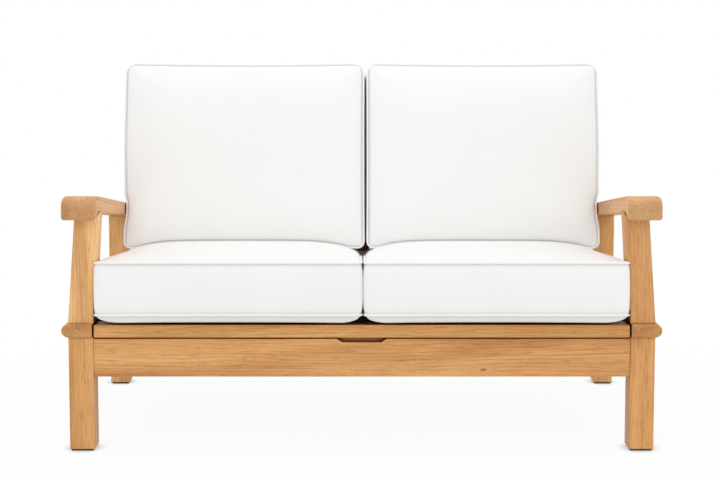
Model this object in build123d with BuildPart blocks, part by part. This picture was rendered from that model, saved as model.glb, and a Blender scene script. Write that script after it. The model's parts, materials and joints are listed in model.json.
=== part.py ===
from build123d import *
import os
from math import cos, radians, sin, tan

# A two-seat patio sofa in oiled hardwood with loose box cushions.
# The slatted seat deck slides forward on sloping runners, and the slatted back, pinned to the
# deck's rear end, leans on a fixed rest bar, so the back reclines as the deck comes forward.
# X runs along the seat, Y from the front to the back, Z is up, in millimetres.
# The origin is on the floor under the middle of the whole piece.

os.makedirs("parts", exist_ok=True)

# Clearances
wood_gap = 0.3              # between wood faces that slide or turn past each other
joint_gap = 0.1             # around a tenon or dowel in its hole
pin_gap = 0.05              # around the hinge bolts
cushion_gap = 0.8           # between a cushion and what it leans or lies on
cut_over = 5                # how far a cutting shape runs past the wood

# Legs, with the glides under them
leg_clear_depth = 684       # front face of a front leg to the front face of a rear leg
front_leg_inner_x = 645     # the seat's opening is twice this wide
front_leg_width = 59.5
front_leg_depth = 60
rear_leg_width = 54
rear_leg_outset = 25        # its inner face is this much further out than a front leg's
rear_leg_depth = 54
leg_edge_round = 3
foot_chamfer = 2.5
glide_height = 3
glide_inset = 3.5

# Side boards, between a front leg and its arm post
board_low_z = 278.5
board_thickness = 32
board_width = 73
board_outset = 2            # its inner edge is this much further out than a front leg's inner face
board_proud = 6
board_edge_round = 3

# Arm posts, which lean in towards the seat
post_foot_width = 60
post_top_width = 57.5
post_lean_in = 17.5         # how far its inner face leans in between its foot and its top
post_setback = 2
post_depth = 58

# Arms, with a thick rounded nose
nose_proud = 24
nose_length = 43
nose_low_z = 564
nose_top_z = 618.5
nose_round = 29
arm_width = 83.5
arm_overhang = 2.5          # the post's inner face stands in from the arm's by this at its top
arm_under_front_z = 580.5    # underside, in line with the front legs' front face
arm_under_rear_z = 490      # underside, in line with the rear legs' front face
arm_rear_top_z = 511
arm_top_start_angle = 8     # slope of the top just behind the nose, in degrees
arm_outer_round = 12
arm_inner_round = 3
nose_low_outer_round = 9     # the nose's lower corners, seen from the front
nose_low_inner_round = 7

# Dowels that join the legs, boards, posts and arms
dowel_radius = 8
dowel_leg_depth = 40
dowel_arm_depth = 18
dowel_back = 28             # dowel centre behind the front leg's front face

# Aprons and lower side rails
apron_low_z = 181.5
apron_top_z = 275
apron_thickness = 22
apron_setback = 3
rear_apron_setback = 16
pull_top_length = 123
pull_low_length = 94
pull_drop = 9.8
pull_wall = 5                # left behind the finger pull
side_rail_outset = 30
side_rail_thickness = 22
tenon_length = 20
tenon_thickness = 10
tenon_shoulder = 15

# Seat deck: it lies on a slope, highest at the front
deck_slope = 3.5            # degrees
deck_travel = 80
deck_low_z = 278.5          # lower front edge of the deck's front rail
deck_proud = 4
deck_end_gap = 2            # between the deck's front rail and a front leg
deck_rail_depth = 70
deck_height = 30
deck_rail_round = 3
slat_thickness = 14
slat_count = 7
slat_gap = 12
slat_edge_round = 2.5
bearer_thickness = 22
side_bearer_inset = 26      # middle of a side bearer inside a front leg's inner face
side_bearer_drop = 16       # how far a side bearer reaches below the deck's underside
mid_bearer_share = 1 / 3    # place of a middle bearer between the middle and a front leg
short_tenon_length = 15
short_tenon_inset = 4       # shoulder beside the tenon of a thinner piece
rear_rail_thickness = 22
hinge_clear = 98            # hinge line in front of the rear legs, along the deck
hinge_play = 4              # between the deck's rear edge and the back's stiles

# Fixed parts under the deck
runner_reach = 8            # how far a runner reaches in past the middle of its side bearer
runner_thickness = 20
fixed_bearer_depth = 45
stop_length = 30
stop_height = 26
stop_width = 29
block_leg = 35
block_low_z = 188
block_height = 46

# Back frame, hinged at the deck's rear end
back_lean = 12              # degrees from upright
back_height = 635           # from the hinge line to the top, along the back
stile_width = 45
stile_thickness = 28
stile_play = 4              # between a side bearer and an outer stile, for the washer
top_rail_height = 45
bottom_rail_rise = 60
bottom_rail_height = 45
back_slat_count = 5         # between the middle stile and an outer stile
back_slat_width = 50
back_slat_thickness = 12
back_tenon_length = 12
back_rail_round = 6
stile_edge_round = 2.5

# Rest bar between the rear legs, on which the stiles lean
rest_bar_low_z = 455
rest_bar_height = 30
rest_bar_into_leg = 30      # its rear face behind the rear legs' front face
rest_bar_round = 5
rest_bar_tenon_depth = 20

# Hinge bolts, washers and nuts
bolt_radius = 5
bolt_head_radius = 9
bolt_head_height = 5
nut_radius = 9
nut_height = 7
bolt_tail = 3               # bolt that shows past its nut

# Screws
screw_radius = 2
screw_head_radius = 4.2
screw_head_height = 2.4
slat_screw_length = 26
pilot_gap = 0.05

# Seat cushions, in the deck's slope
seat_cushion_proud = 16     # its front seams in front of the deck's front edge
seat_cushion_rear_gap = 2   # from its rear seams to the hinge line, less half a stile
seat_cushion_side_gap = 11.5  # to the front legs' inner faces, because the posts lean in over it
seat_low_crown = 26
seat_boxing = 121.5
seat_top_crown = 27
seat_low_reach = 45         # how far in from the edge the lower crown is still rounding
seat_top_reach = 200
seat_parting_x = 2.8        # the two seat cushions meet a little to the right of the middle
seat_parting_gap = 4.4
cushion_corner_radius = 22
cushion_side_draw = 4       # how far an outer side is drawn in between its corners
parting_draw = 1            # the same where two cushions meet
boxing_swell = 1.6

# Back cushions, in the back's slope
back_cushion_rise = 160     # lower front seam above the hinge line, along the back
back_cushion_over_top = 22  # how far its upper front seam reaches above the top rail, along the back
back_cushion_low_slant = 28 # the lower side is this much higher at the rear than at the front
back_cushion_arm_gap = 1    # between its lower side and an arm
back_cushion_widening = 7   # how much further out its sides are at the top than at the bottom
back_rear_crown = 27
back_boxing = 155
back_front_crown = 30
back_rear_reach = 90
back_front_reach = 150
back_parting_x = 10.5
back_parting_gap = 5
back_side_draw = 8
top_height_shares = (0, 0.42, 0.74, 0.93, 1)
top_inset_shares = (0, 0.1, 0.3, 0.6, 1)
low_height_shares = (0, 0.5, 0.82, 1)
low_inset_shares = (0, 0.14, 0.43, 1)

# Places worked out from the sizes above
rear_leg_inner_x = front_leg_inner_x + rear_leg_outset
rear_leg_outer_x = rear_leg_inner_x + rear_leg_width
board_inner_x = front_leg_inner_x + board_outset
board_outer_x = board_inner_x + board_width
post_top_inner_x = front_leg_inner_x - post_lean_in
arm_inner_x = post_top_inner_x + arm_overhang
arm_outer_x = arm_inner_x + arm_width
arm_rear_inner_x = rear_leg_outer_x - arm_width
side_rail_inner_x = front_leg_inner_x + side_rail_outset
deck_half_width = front_leg_inner_x - deck_end_gap
side_bearer_x = front_leg_inner_x - side_bearer_inset
mid_bearer_x = front_leg_inner_x * mid_bearer_share
runner_inner_x = side_bearer_x - runner_reach
stop_outer_x = runner_inner_x + stop_width
stile_outer_x = side_bearer_x - bearer_thickness / 2 - stile_play
seat_cushion_half_width = front_leg_inner_x - seat_cushion_side_gap
back_cushion_height = back_height + back_cushion_over_top - back_cushion_rise
hinge_back = leg_clear_depth + deck_proud - hinge_clear
leg_front_y = (nose_proud - leg_clear_depth - rear_leg_depth) / 2
rear_leg_front_y = leg_front_y + leg_clear_depth
rear_leg_back_y = rear_leg_front_y + rear_leg_depth
nose_front_y = leg_front_y - nose_proud
nose_back_y = nose_front_y + nose_length
arm_splay = (arm_rear_inner_x - arm_inner_x) / (rear_leg_back_y - nose_front_y)
board_top_z = board_low_z + board_thickness
dowel_x = front_leg_inner_x + front_leg_width / 2
dowel_y = leg_front_y + dowel_back
arm_dowel_x = post_top_inner_x + post_top_width / 2
rear_dowel_x = rear_leg_inner_x + rear_leg_width / 2
rear_dowel_y = rear_leg_front_y + rear_leg_depth / 2
apron_front_y = leg_front_y + apron_setback
apron_back_y = apron_front_y + apron_thickness
rear_apron_front_y = rear_leg_front_y + rear_apron_setback
front_leg_back_y = leg_front_y + front_leg_depth
side_rail_x = side_rail_inner_x + side_rail_thickness / 2
deck_front_y = leg_front_y - deck_proud
slope = radians(deck_slope)
lean = radians(back_lean)
hinge_y = deck_front_y + hinge_back * cos(slope)
hinge_z = deck_low_z - hinge_back * sin(slope)
back_seam_out = stile_thickness / 2 + wood_gap + back_rear_crown + back_boxing
back_seam_y = hinge_y + back_cushion_rise * sin(lean) - back_seam_out * cos(lean)
back_cushion_low_half_width = (
    arm_inner_x + (back_seam_y - nose_front_y) * arm_splay - back_cushion_arm_gap
)
back_cushion_top_half_width = back_cushion_low_half_width + back_cushion_widening
bearer_top = deck_height - slat_thickness
slat_front = deck_rail_depth + slat_gap
slat_back = hinge_back - stile_thickness / 2 - hinge_play
slat_width = (slat_back - slat_front - (slat_count - 1) * slat_gap) / slat_count
slat_pitch = slat_width + slat_gap
stile_inner_x = stile_outer_x - stile_width
stile_x = stile_outer_x - stile_width / 2
stile_top = back_height - top_rail_height
bottom_rail_top = bottom_rail_rise + bottom_rail_height
middle_low = (Align.CENTER, Align.MIN, Align.MIN)
sides = ((-1, "left"), (1, "right"))

deck_plane = Plane(
    origin=(0, deck_front_y, deck_low_z), x_dir=(1, 0, 0), z_dir=(0, sin(slope), cos(slope))
)
back_plane = Plane(origin=(0, hinge_y, hinge_z), x_dir=(1, 0, 0), z_dir=(0, -cos(lean), sin(lean)))
along_deck = Axis((0, 0, 0), (0, cos(slope), -sin(slope)))
along_back = Axis((0, 0, 0), (0, sin(lean), cos(lean)))


def deck_line_z(y, up):
    """Height of a line that lies parallel to the deck, up above its underside, at a place along Y."""
    return deck_low_z - (y - deck_front_y) * tan(slope) + up / cos(slope)


def arm_under_z(y):
    """Height of the arm's sloping underside at a place along Y."""
    fall = (arm_under_front_z - arm_under_rear_z) / leg_clear_depth
    return arm_under_front_z - (y - leg_front_y) * fall


def stile_rear_y(z):
    """Place along Y of a stile's rear face at a height."""
    return hinge_y + (z - hinge_z) * tan(lean) + stile_thickness / 2 / cos(lean)


def keep(made, name):
    """Labels a finished piece and writes it."""
    made.part.label = name
    export_step(made.part, f"parts/{name}.step")


# Everything above the arms' underside, which cuts the posts and rear legs to length
with BuildPart() as above_arms:
    with BuildSketch(Plane.YZ):
        with BuildLine():
            Polyline(
                (nose_front_y, nose_low_z),
                (nose_back_y, arm_under_z(nose_back_y)),
                (rear_leg_back_y + cut_over, arm_under_z(rear_leg_back_y + cut_over)),
                (rear_leg_back_y + cut_over, nose_top_z + cut_over),
                (nose_front_y, nose_top_z + cut_over),
                close=True,
            )
        make_face()
    extrude(amount=rear_leg_outer_x + cut_over, both=True)

# Front legs
apron_tenon_height = apron_top_z - apron_low_z - 2 * tenon_shoulder
side_tenon_height = board_low_z - apron_low_z - 2 * tenon_shoulder
apron_tenon_y = apron_front_y + apron_thickness / 2
for side, word in sides:
    with BuildPart() as front_leg:
        with Locations((side * dowel_x, leg_front_y, glide_height)):
            Box(front_leg_width, front_leg_depth, board_low_z - glide_height, align=middle_low)
        fillet(front_leg.edges().filter_by(Axis.Z), leg_edge_round)
        chamfer(front_leg.faces().sort_by(Axis.Z)[0].edges(), foot_chamfer)
        with Locations((side * front_leg_inner_x, apron_tenon_y, apron_low_z + tenon_shoulder - joint_gap)):
            Box(
                2 * (tenon_length + joint_gap),
                tenon_thickness + 2 * joint_gap,
                apron_tenon_height + 2 * joint_gap,
                align=(Align.CENTER, Align.CENTER, Align.MIN),
                mode=Mode.SUBTRACT,
            )
        with Locations((side * side_rail_x, front_leg_back_y, apron_low_z + tenon_shoulder - joint_gap)):
            Box(
                tenon_thickness + 2 * joint_gap,
                2 * (tenon_length + joint_gap),
                side_tenon_height + 2 * joint_gap,
                align=(Align.CENTER, Align.CENTER, Align.MIN),
                mode=Mode.SUBTRACT,
            )
        with Locations((side * dowel_x, dowel_y, board_low_z)):
            Hole(dowel_radius + joint_gap, depth=dowel_leg_depth + joint_gap)
    keep(front_leg, f"front_leg_{word}")

# Rear legs, which run from the floor to the arms
for side, word in sides:
    with BuildPart() as rear_leg:
        with Locations((side * rear_dowel_x, rear_leg_front_y, glide_height)):
            Box(rear_leg_width, rear_leg_depth, arm_under_front_z - glide_height, align=middle_low)
        fillet(rear_leg.edges().filter_by(Axis.Z), leg_edge_round)
        chamfer(rear_leg.faces().sort_by(Axis.Z)[0].edges(), foot_chamfer)
        add(above_arms.part, mode=Mode.SUBTRACT)
        with Locations((side * rear_leg_inner_x, rear_apron_front_y + apron_thickness / 2,
                        apron_low_z + tenon_shoulder - joint_gap)):
            Box(
                2 * (tenon_length + joint_gap),
                tenon_thickness + 2 * joint_gap,
                apron_tenon_height + 2 * joint_gap,
                align=(Align.CENTER, Align.CENTER, Align.MIN),
                mode=Mode.SUBTRACT,
            )
        with Locations((side * rear_leg_inner_x, rear_leg_front_y + rest_bar_into_leg / 2,
                        rest_bar_low_z + rest_bar_height / 2)):
            Box(
                2 * (short_tenon_length + joint_gap),
                rest_bar_tenon_depth + 2 * joint_gap,
                tenon_thickness + 2 * joint_gap,
                mode=Mode.SUBTRACT,
            )
        with Locations((side * rear_dowel_x, rear_dowel_y, arm_under_z(rear_dowel_y) + cut_over)):
            Hole(dowel_radius + joint_gap, depth=dowel_leg_depth + joint_gap + cut_over)
    keep(rear_leg, f"rear_leg_{word}")

# Glides under the four legs
with BuildPart() as foot_glides:
    for side, word in sides:
        with Locations((side * dowel_x, leg_front_y + front_leg_depth / 2, 0)):
            Box(
                front_leg_width - 2 * glide_inset,
                front_leg_depth - 2 * glide_inset,
                glide_height,
                align=(Align.CENTER, Align.CENTER, Align.MIN),
            )
        with Locations((side * rear_dowel_x, rear_dowel_y, 0)):
            Box(
                rear_leg_width - 2 * glide_inset,
                rear_leg_depth - 2 * glide_inset,
                glide_height,
                align=(Align.CENTER, Align.CENTER, Align.MIN),
            )
    fillet(foot_glides.edges().filter_by(Axis.Z), leg_edge_round)
keep(foot_glides, "foot_glides")

# Side boards with a bullnose outer edge
for side, word in sides:
    nose_radius = board_thickness / 2
    with BuildPart() as side_board:
        with BuildSketch(Plane.XZ.offset(board_proud - leg_front_y)):
            with BuildLine():
                start_x = side * (board_outer_x - nose_radius)
                Polyline(
                    (start_x, board_low_z),
                    (side * board_inner_x, board_low_z),
                    (side * board_inner_x, board_top_z),
                    (start_x, board_top_z),
                )
                ThreePointArc(
                    (start_x, board_top_z),
                    (side * board_outer_x, board_low_z + nose_radius),
                    (start_x, board_low_z),
                )
            make_face()
        extrude(amount=-(board_proud + leg_clear_depth))
        fillet(side_board.faces().sort_by(Axis.Y)[0].edges(), board_edge_round)
        with Locations((side * dowel_x, dowel_y, board_top_z)):
            Hole(dowel_radius + joint_gap, depth=board_thickness + joint_gap)
    keep(side_board, f"side_board_{word}")

# Arm posts
post_front_y = leg_front_y + post_setback
post_rise = arm_under_z(post_front_y) - board_top_z
for side, word in sides:
    with BuildPart() as arm_post:
        with BuildSketch(Plane.XZ.offset(-post_front_y)):
            with BuildLine():
                Polyline(
                    (side * front_leg_inner_x, board_top_z),
                    (side * (front_leg_inner_x + post_foot_width), board_top_z),
                    (side * (post_top_inner_x + post_top_width), board_top_z + post_rise),
                    (side * post_top_inner_x, board_top_z + post_rise),
                    close=True,
                )
            make_face()
        extrude(amount=-post_depth)
        fillet(arm_post.edges().group_by(Axis.Z)[1], leg_edge_round)
        add(above_arms.part, mode=Mode.SUBTRACT)
        with Locations((side * dowel_x, dowel_y, board_top_z)):
            Cylinder(dowel_radius + joint_gap, 2 * (dowel_leg_depth + joint_gap), mode=Mode.SUBTRACT)
        with Locations((side * arm_dowel_x, dowel_y, arm_under_z(dowel_y) + cut_over)):
            Hole(dowel_radius + joint_gap, depth=dowel_leg_depth + joint_gap + cut_over)
    keep(arm_post, f"arm_post_{word}")

# Arms: a side profile with a rounded nose, cut in plan so that each arm runs out to its rear leg
for side, word in sides:
    nose_middle = (nose_front_y + nose_round, nose_top_z - nose_round)
    with BuildPart() as arm:
        with BuildSketch(Plane.YZ.offset(side * arm_inner_x)):
            with BuildLine():
                nose = CenterArc(nose_middle, nose_round, 180, -90 - arm_top_start_angle)
                top = TangentArc(nose @ 1, (rear_leg_back_y, arm_rear_top_z), tangent=nose % 1)
                Polyline(
                    top @ 1,
                    (rear_leg_back_y, arm_under_z(rear_leg_back_y)),
                    (nose_back_y, arm_under_z(nose_back_y)),
                    (nose_front_y, nose_low_z),
                    nose @ 0,
                )
            make_face()
        extrude(amount=side * (rear_leg_outer_x - arm_inner_x))
        with BuildSketch():
            with BuildLine():
                Polyline(
                    (side * arm_inner_x, nose_front_y),
                    (side * arm_outer_x, nose_front_y),
                    (side * rear_leg_outer_x, rear_leg_back_y),
                    (side * arm_rear_inner_x, rear_leg_back_y),
                    close=True,
                )
            make_face()
        extrude(amount=nose_top_z + cut_over, mode=Mode.INTERSECT)
        outer_edges = arm.faces().sort_by(Axis.X)[-1 if side > 0 else 0].edges()
        middles = [(edge, edge @ 0.5) for edge in outer_edges]
        high_edges = [
            edge for edge, middle in middles if middle.Z > arm_under_z(middle.Y) + arm_inner_round
        ]
        fillet(high_edges, arm_outer_round)
        low_back = arm.edges().filter_by(GeomType.LINE).group_by(SortBy.LENGTH)[-1]
        fillet(low_back, arm_inner_round)
        inner_edges = arm.faces().sort_by(Axis.X)[0 if side > 0 else -1].edges()
        fillet([edge for edge in inner_edges if (edge @ 0.5).Z > nose_low_z], arm_inner_round)
        for corner_x, inward, radius in (
            (side * arm_outer_x, -side, nose_low_outer_round),
            (side * arm_inner_x, side, nose_low_inner_round),
        ):
            cut_middle = (radius - cut_over) / 2
            with BuildSketch(Plane.XZ.offset(-nose_front_y)):
                with Locations((corner_x + inward * cut_middle, nose_low_z + cut_middle)):
                    Rectangle(radius + cut_over, radius + cut_over)
                with Locations((corner_x + inward * radius, nose_low_z + radius)):
                    Circle(radius, mode=Mode.SUBTRACT)
            extrude(amount=nose_length, dir=(side * arm_splay, 1, 0), mode=Mode.SUBTRACT)
        with Locations(
            (side * arm_dowel_x, dowel_y, arm_under_z(dowel_y)),
            (side * rear_dowel_x, rear_dowel_y, arm_under_z(rear_dowel_y)),
        ):
            Cylinder(dowel_radius + joint_gap, 2 * (dowel_arm_depth + joint_gap), mode=Mode.SUBTRACT)
    keep(arm, f"arm_{word}")

# Dowels through the side boards, and dowels up into the arms
with BuildPart() as dowels:
    for side, word in sides:
        with Locations((side * dowel_x, dowel_y, board_low_z + board_thickness / 2)):
            Cylinder(dowel_radius, board_thickness + 2 * dowel_leg_depth)
        for x, y in ((arm_dowel_x, dowel_y), (rear_dowel_x, rear_dowel_y)):
            with Locations((side * x, y, arm_under_z(y) - dowel_leg_depth)):
                Cylinder(
                    dowel_radius,
                    dowel_leg_depth + dowel_arm_depth,
                    align=(Align.CENTER, Align.CENTER, Align.MIN),
                )
keep(dowels, "dowels")

# Front apron with the finger pull cut into its top edge, and the rear apron
apron_height = apron_top_z - apron_low_z
bearer_tenon_up = -fixed_bearer_depth / 2
for name, front_y, half_width in (
    ("front_apron", apron_front_y, front_leg_inner_x),
    ("rear_apron", rear_apron_front_y, rear_leg_inner_x),
):
    with BuildPart() as apron:
        with Locations((0, front_y, apron_low_z)):
            Box(2 * half_width, apron_thickness, apron_height, align=middle_low)
        fillet(apron.edges().filter_by(Axis.X), leg_edge_round)
        with Locations((0, front_y + apron_thickness / 2, apron_low_z + tenon_shoulder)):
            Box(
                2 * (half_width + tenon_length),
                tenon_thickness,
                apron_tenon_height,
                align=(Align.CENTER, Align.CENTER, Align.MIN),
            )
        if name == "front_apron":
            with BuildSketch(Plane.XZ.offset(-front_y + cut_over)):
                with BuildLine():
                    Polyline(
                        (-pull_low_length / 2, apron_top_z - pull_drop),
                        (pull_low_length / 2, apron_top_z - pull_drop),
                        (pull_top_length / 2, apron_top_z),
                        (pull_top_length / 2, apron_top_z + cut_over),
                        (-pull_top_length / 2, apron_top_z + cut_over),
                        (-pull_top_length / 2, apron_top_z),
                        close=True,
                    )
                make_face()
            extrude(amount=-(apron_thickness + cut_over - pull_wall), mode=Mode.SUBTRACT)
        inner_y = front_y + apron_thickness if name == "front_apron" else front_y
        with Locations(
            *[(side * mid_bearer_x, inner_y, deck_line_z(inner_y, bearer_tenon_up)) for side, word in sides]
        ):
            Box(
                tenon_thickness + 2 * joint_gap,
                tenon_thickness + 2 * joint_gap,
                fixed_bearer_depth / 2 + 2 * joint_gap,
                mode=Mode.SUBTRACT,
            )
    keep(apron, name)

# Lower side rails
for side, word in sides:
    with BuildPart() as side_rail:
        with Locations((side * side_rail_x, front_leg_back_y, apron_low_z)):
            Box(
                side_rail_thickness,
                rear_leg_front_y - front_leg_back_y,
                board_low_z - apron_low_z,
                align=middle_low,
            )
        fillet(side_rail.edges().filter_by(Axis.Y).group_by(Axis.Z)[0], leg_edge_round)
        with Locations((side * side_rail_x, front_leg_back_y - tenon_length, apron_low_z + tenon_shoulder)):
            Box(tenon_thickness, 2 * tenon_length, side_tenon_height, align=middle_low)
    keep(side_rail, f"side_rail_{word}")

# Runners: sloping ledges on the side rails that carry the deck's side bearers
runner_up = -side_bearer_drop - wood_gap
for side, word in sides:
    with BuildPart() as runner:
        with BuildSketch(Plane.YZ.offset(side * runner_inner_x)):
            with BuildLine():
                Polyline(
                    (front_leg_back_y, deck_line_z(front_leg_back_y, runner_up)),
                    (rear_leg_front_y, deck_line_z(rear_leg_front_y, runner_up)),
                    (rear_leg_front_y, deck_line_z(rear_leg_front_y, runner_up - runner_thickness)),
                    (front_leg_back_y, deck_line_z(front_leg_back_y, runner_up - runner_thickness)),
                    close=True,
                )
            make_face()
        extrude(amount=side * (side_rail_inner_x - runner_inner_x))
    keep(runner, f"runner_{word}")

# Stops on the runners behind the side bearers
bearer_end = hinge_back + side_bearer_drop
with BuildPart(deck_plane) as rear_stops:
    for side, word in sides:
        with Locations((side * (runner_inner_x + stop_outer_x) / 2, bearer_end + wood_gap, runner_up)):
            Box(stop_outer_x - runner_inner_x, stop_length, stop_height, align=middle_low)
keep(rear_stops, "rear_stops")

# Fixed bearers under the deck's middle bearers, tenoned into both aprons
for side, word in sides:
    with BuildPart() as fixed_bearer:
        with BuildSketch(Plane.YZ.offset(side * mid_bearer_x)):
            with BuildLine():
                Polyline(
                    (apron_back_y, deck_line_z(apron_back_y, -wood_gap)),
                    (rear_apron_front_y, deck_line_z(rear_apron_front_y, -wood_gap)),
                    (rear_apron_front_y, deck_line_z(rear_apron_front_y, -fixed_bearer_depth)),
                    (apron_back_y, deck_line_z(apron_back_y, -fixed_bearer_depth)),
                    close=True,
                )
            make_face()
        extrude(amount=bearer_thickness / 2, both=True)
        for y in (apron_back_y, rear_apron_front_y):
            with Locations((side * mid_bearer_x, y, deck_line_z(y, bearer_tenon_up))):
                Box(tenon_thickness, tenon_thickness, fixed_bearer_depth / 2)
    keep(fixed_bearer, f"fixed_bearer_{word}")

# Corner blocks behind the front apron
with BuildPart() as corner_blocks:
    for side, word in sides:
        with BuildSketch(Plane.XY.offset(block_low_z)):
            with BuildLine():
                Polyline(
                    (side * front_leg_inner_x, apron_back_y),
                    (side * (front_leg_inner_x - block_leg), apron_back_y),
                    (side * front_leg_inner_x, apron_back_y + block_leg),
                    close=True,
                )
            make_face()
        extrude(amount=block_height)
keep(corner_blocks, "corner_blocks")

# Rest bar between the rear legs
rest_bar_top_z = rest_bar_low_z + rest_bar_height
round_lead = rest_bar_round * (cos(lean) + sin(lean) - 1)
rest_bar_front_y = stile_rear_y(rest_bar_top_z) + (wood_gap - round_lead) / cos(lean)
rest_bar_back_y = rear_leg_front_y + rest_bar_into_leg
with BuildPart() as rest_bar:
    with Locations((0, rest_bar_front_y, rest_bar_low_z)):
        Box(2 * rear_leg_inner_x, rest_bar_back_y - rest_bar_front_y, rest_bar_height, align=middle_low)
    fillet(rest_bar.edges().filter_by(Axis.X), rest_bar_round)
    with Locations((0, rear_leg_front_y + rest_bar_into_leg / 2, rest_bar_low_z + rest_bar_height / 2)):
        Box(2 * (rear_leg_inner_x + short_tenon_length), rest_bar_tenon_depth, tenon_thickness)
keep(rest_bar, "rest_bar")

# Deck front rail, in the deck's slope
deck_tenon_height = bearer_top - 2 * short_tenon_inset
bearer_places = [side * x for x in (mid_bearer_x, side_bearer_x) for side, word in sides]
with BuildPart(deck_plane) as deck_front_rail:
    Box(2 * deck_half_width, deck_rail_depth, deck_height, align=middle_low)
    front_ends = deck_front_rail.edges().group_by(along_deck)[0]
    fillet(front_ends, deck_rail_round)
    fillet(deck_front_rail.edges().filter_by(along_deck), slat_edge_round)
    with Locations(*[(x, deck_rail_depth, bearer_top / 2) for x in bearer_places]):
        Box(
            tenon_thickness + 2 * joint_gap,
            2 * (short_tenon_length + joint_gap),
            deck_tenon_height + 2 * joint_gap,
            mode=Mode.SUBTRACT,
        )
keep(deck_front_rail, "deck_front_rail")

# Deck slats
slat_places = [slat_front + slat_width / 2 + slat_pitch * step for step in range(slat_count)]
for number, place in enumerate(slat_places, 1):
    with BuildPart(deck_plane) as deck_slat:
        with Locations((0, place, bearer_top)):
            Box(
                2 * (side_bearer_x + bearer_thickness / 2),
                slat_width,
                slat_thickness,
                align=(Align.CENTER, Align.CENTER, Align.MIN),
            )
        top_edges = deck_slat.edges().filter_by(Axis.X).group_by(Axis((0, 0, 0), deck_plane.z_dir))[-1]
        fillet(top_edges, slat_edge_round)
        with Locations(*[(x, place, deck_height) for x in bearer_places]):
            CounterSinkHole(screw_radius + pilot_gap, screw_head_radius + pilot_gap, depth=slat_thickness)
    keep(deck_slat, f"deck_slat_{number}")

# Middle bearers of the deck
rear_rail_front = slat_back - rear_rail_thickness
pilot_depth = slat_screw_length - slat_thickness + joint_gap
for side, word in sides:
    with BuildPart(deck_plane) as mid_bearer:
        with Locations((side * mid_bearer_x, deck_rail_depth, 0)):
            Box(bearer_thickness, rear_rail_front - deck_rail_depth, bearer_top, align=middle_low)
        with Locations((side * mid_bearer_x, deck_rail_depth - short_tenon_length, short_tenon_inset)):
            Box(tenon_thickness, 2 * short_tenon_length, deck_tenon_height, align=middle_low)
        with Locations(*[(side * mid_bearer_x, place, bearer_top) for place in slat_places]):
            Hole(screw_radius + pilot_gap, depth=pilot_depth)
    keep(mid_bearer, f"mid_bearer_{word}")

# Side bearers: notched over the apron, where the notch's shoulder is the deck's forward stop,
# and rounded about the hinge bolt at the rear
stop_shoulder = (apron_back_y - deck_front_y) / cos(slope) + deck_travel + 4 * wood_gap
for side, word in sides:
    side_plane = Plane(
        origin=deck_plane.from_local_coords(Vector(side * (side_bearer_x - bearer_thickness / 2), 0, 0)),
        x_dir=along_deck.direction,
        z_dir=(1, 0, 0),
    )
    with BuildPart() as side_bearer:
        with BuildSketch(side_plane):
            with BuildLine():
                Polyline(
                    (hinge_back, bearer_top),
                    (deck_rail_depth, bearer_top),
                    (deck_rail_depth, 0),
                    (stop_shoulder, 0),
                    (stop_shoulder, -side_bearer_drop),
                    (hinge_back, -side_bearer_drop),
                )
                ThreePointArc(
                    (hinge_back, -side_bearer_drop),
                    (hinge_back + side_bearer_drop, 0),
                    (hinge_back, bearer_top),
                )
            make_face()
            with Locations((hinge_back, 0)):
                Circle(bolt_radius + pin_gap, mode=Mode.SUBTRACT)
        extrude(amount=side * bearer_thickness)
        with Locations(
            *[
                deck_plane.location * Location((side * side_bearer_x, place, bearer_top))
                for place in slat_places
            ]
        ):
            Hole(screw_radius + pilot_gap, depth=pilot_depth)
        with Locations(
            deck_plane.location * Location((side * side_bearer_x, deck_rail_depth, bearer_top / 2))
        ):
            Box(tenon_thickness, 2 * short_tenon_length, deck_tenon_height)
    keep(side_bearer, f"side_bearer_{word}")

# Deck rear rail between the side bearers
with BuildPart(deck_plane) as deck_rear_rail:
    with Locations((0, rear_rail_front, 0)):
        Box(
            2 * (side_bearer_x - bearer_thickness / 2),
            rear_rail_thickness,
            bearer_top,
            align=middle_low,
        )
keep(deck_rear_rail, "deck_rear_rail")

# Slat screws
with BuildPart() as slat_screw:
    with BuildSketch(Plane.XZ):
        with BuildLine():
            Polyline(
                (0, 0),
                (screw_head_radius, 0),
                (screw_radius, -screw_head_height),
                (screw_radius, -slat_screw_length),
                (0, -slat_screw_length),
                close=True,
            )
        make_face()
    revolve(axis=Axis.Z)
with BuildPart(deck_plane) as slat_screws:
    with Locations(*[(x, place, deck_height - pilot_gap) for x in bearer_places for place in slat_places]):
        add(slat_screw.part)
keep(slat_screws, "slat_screws")

# Hinge bolts, with a washer between bearer and stile and a nut inside the stile
washer_room = side_bearer_x - bearer_thickness / 2 - stile_outer_x
for name in ("hinge_bolts", "hinge_washers", "hinge_nuts"):
    with BuildPart() as hardware:
        for side, word in sides:
            bearer_face_x = side * (side_bearer_x + bearer_thickness / 2)
            head_plane = Plane(
                origin=(bearer_face_x, hinge_y, hinge_z), x_dir=(0, 1, 0), z_dir=(side, 0, 0)
            )
            shank = side_bearer_x + bearer_thickness / 2 - stile_inner_x + wood_gap + nut_height + bolt_tail
            if name == "hinge_bolts":
                with BuildSketch(head_plane):
                    Circle(bolt_head_radius)
                extrude(amount=bolt_head_height)
                with BuildSketch(head_plane):
                    Circle(bolt_radius)
                extrude(amount=-shank)
            if name == "hinge_washers":
                with BuildSketch(head_plane.offset(-bearer_thickness)):
                    Circle(bolt_head_radius)
                    Circle(bolt_radius + pin_gap, mode=Mode.SUBTRACT)
                extrude(amount=-(washer_room - wood_gap))
            if name == "hinge_nuts":
                nut_depth = bearer_thickness + washer_room + stile_width + wood_gap
                with BuildSketch(head_plane.offset(-nut_depth)):
                    RegularPolygon(nut_radius, 6)
                    Circle(bolt_radius + pin_gap, mode=Mode.SUBTRACT)
                extrude(amount=-nut_height)
    keep(hardware, name)

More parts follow.
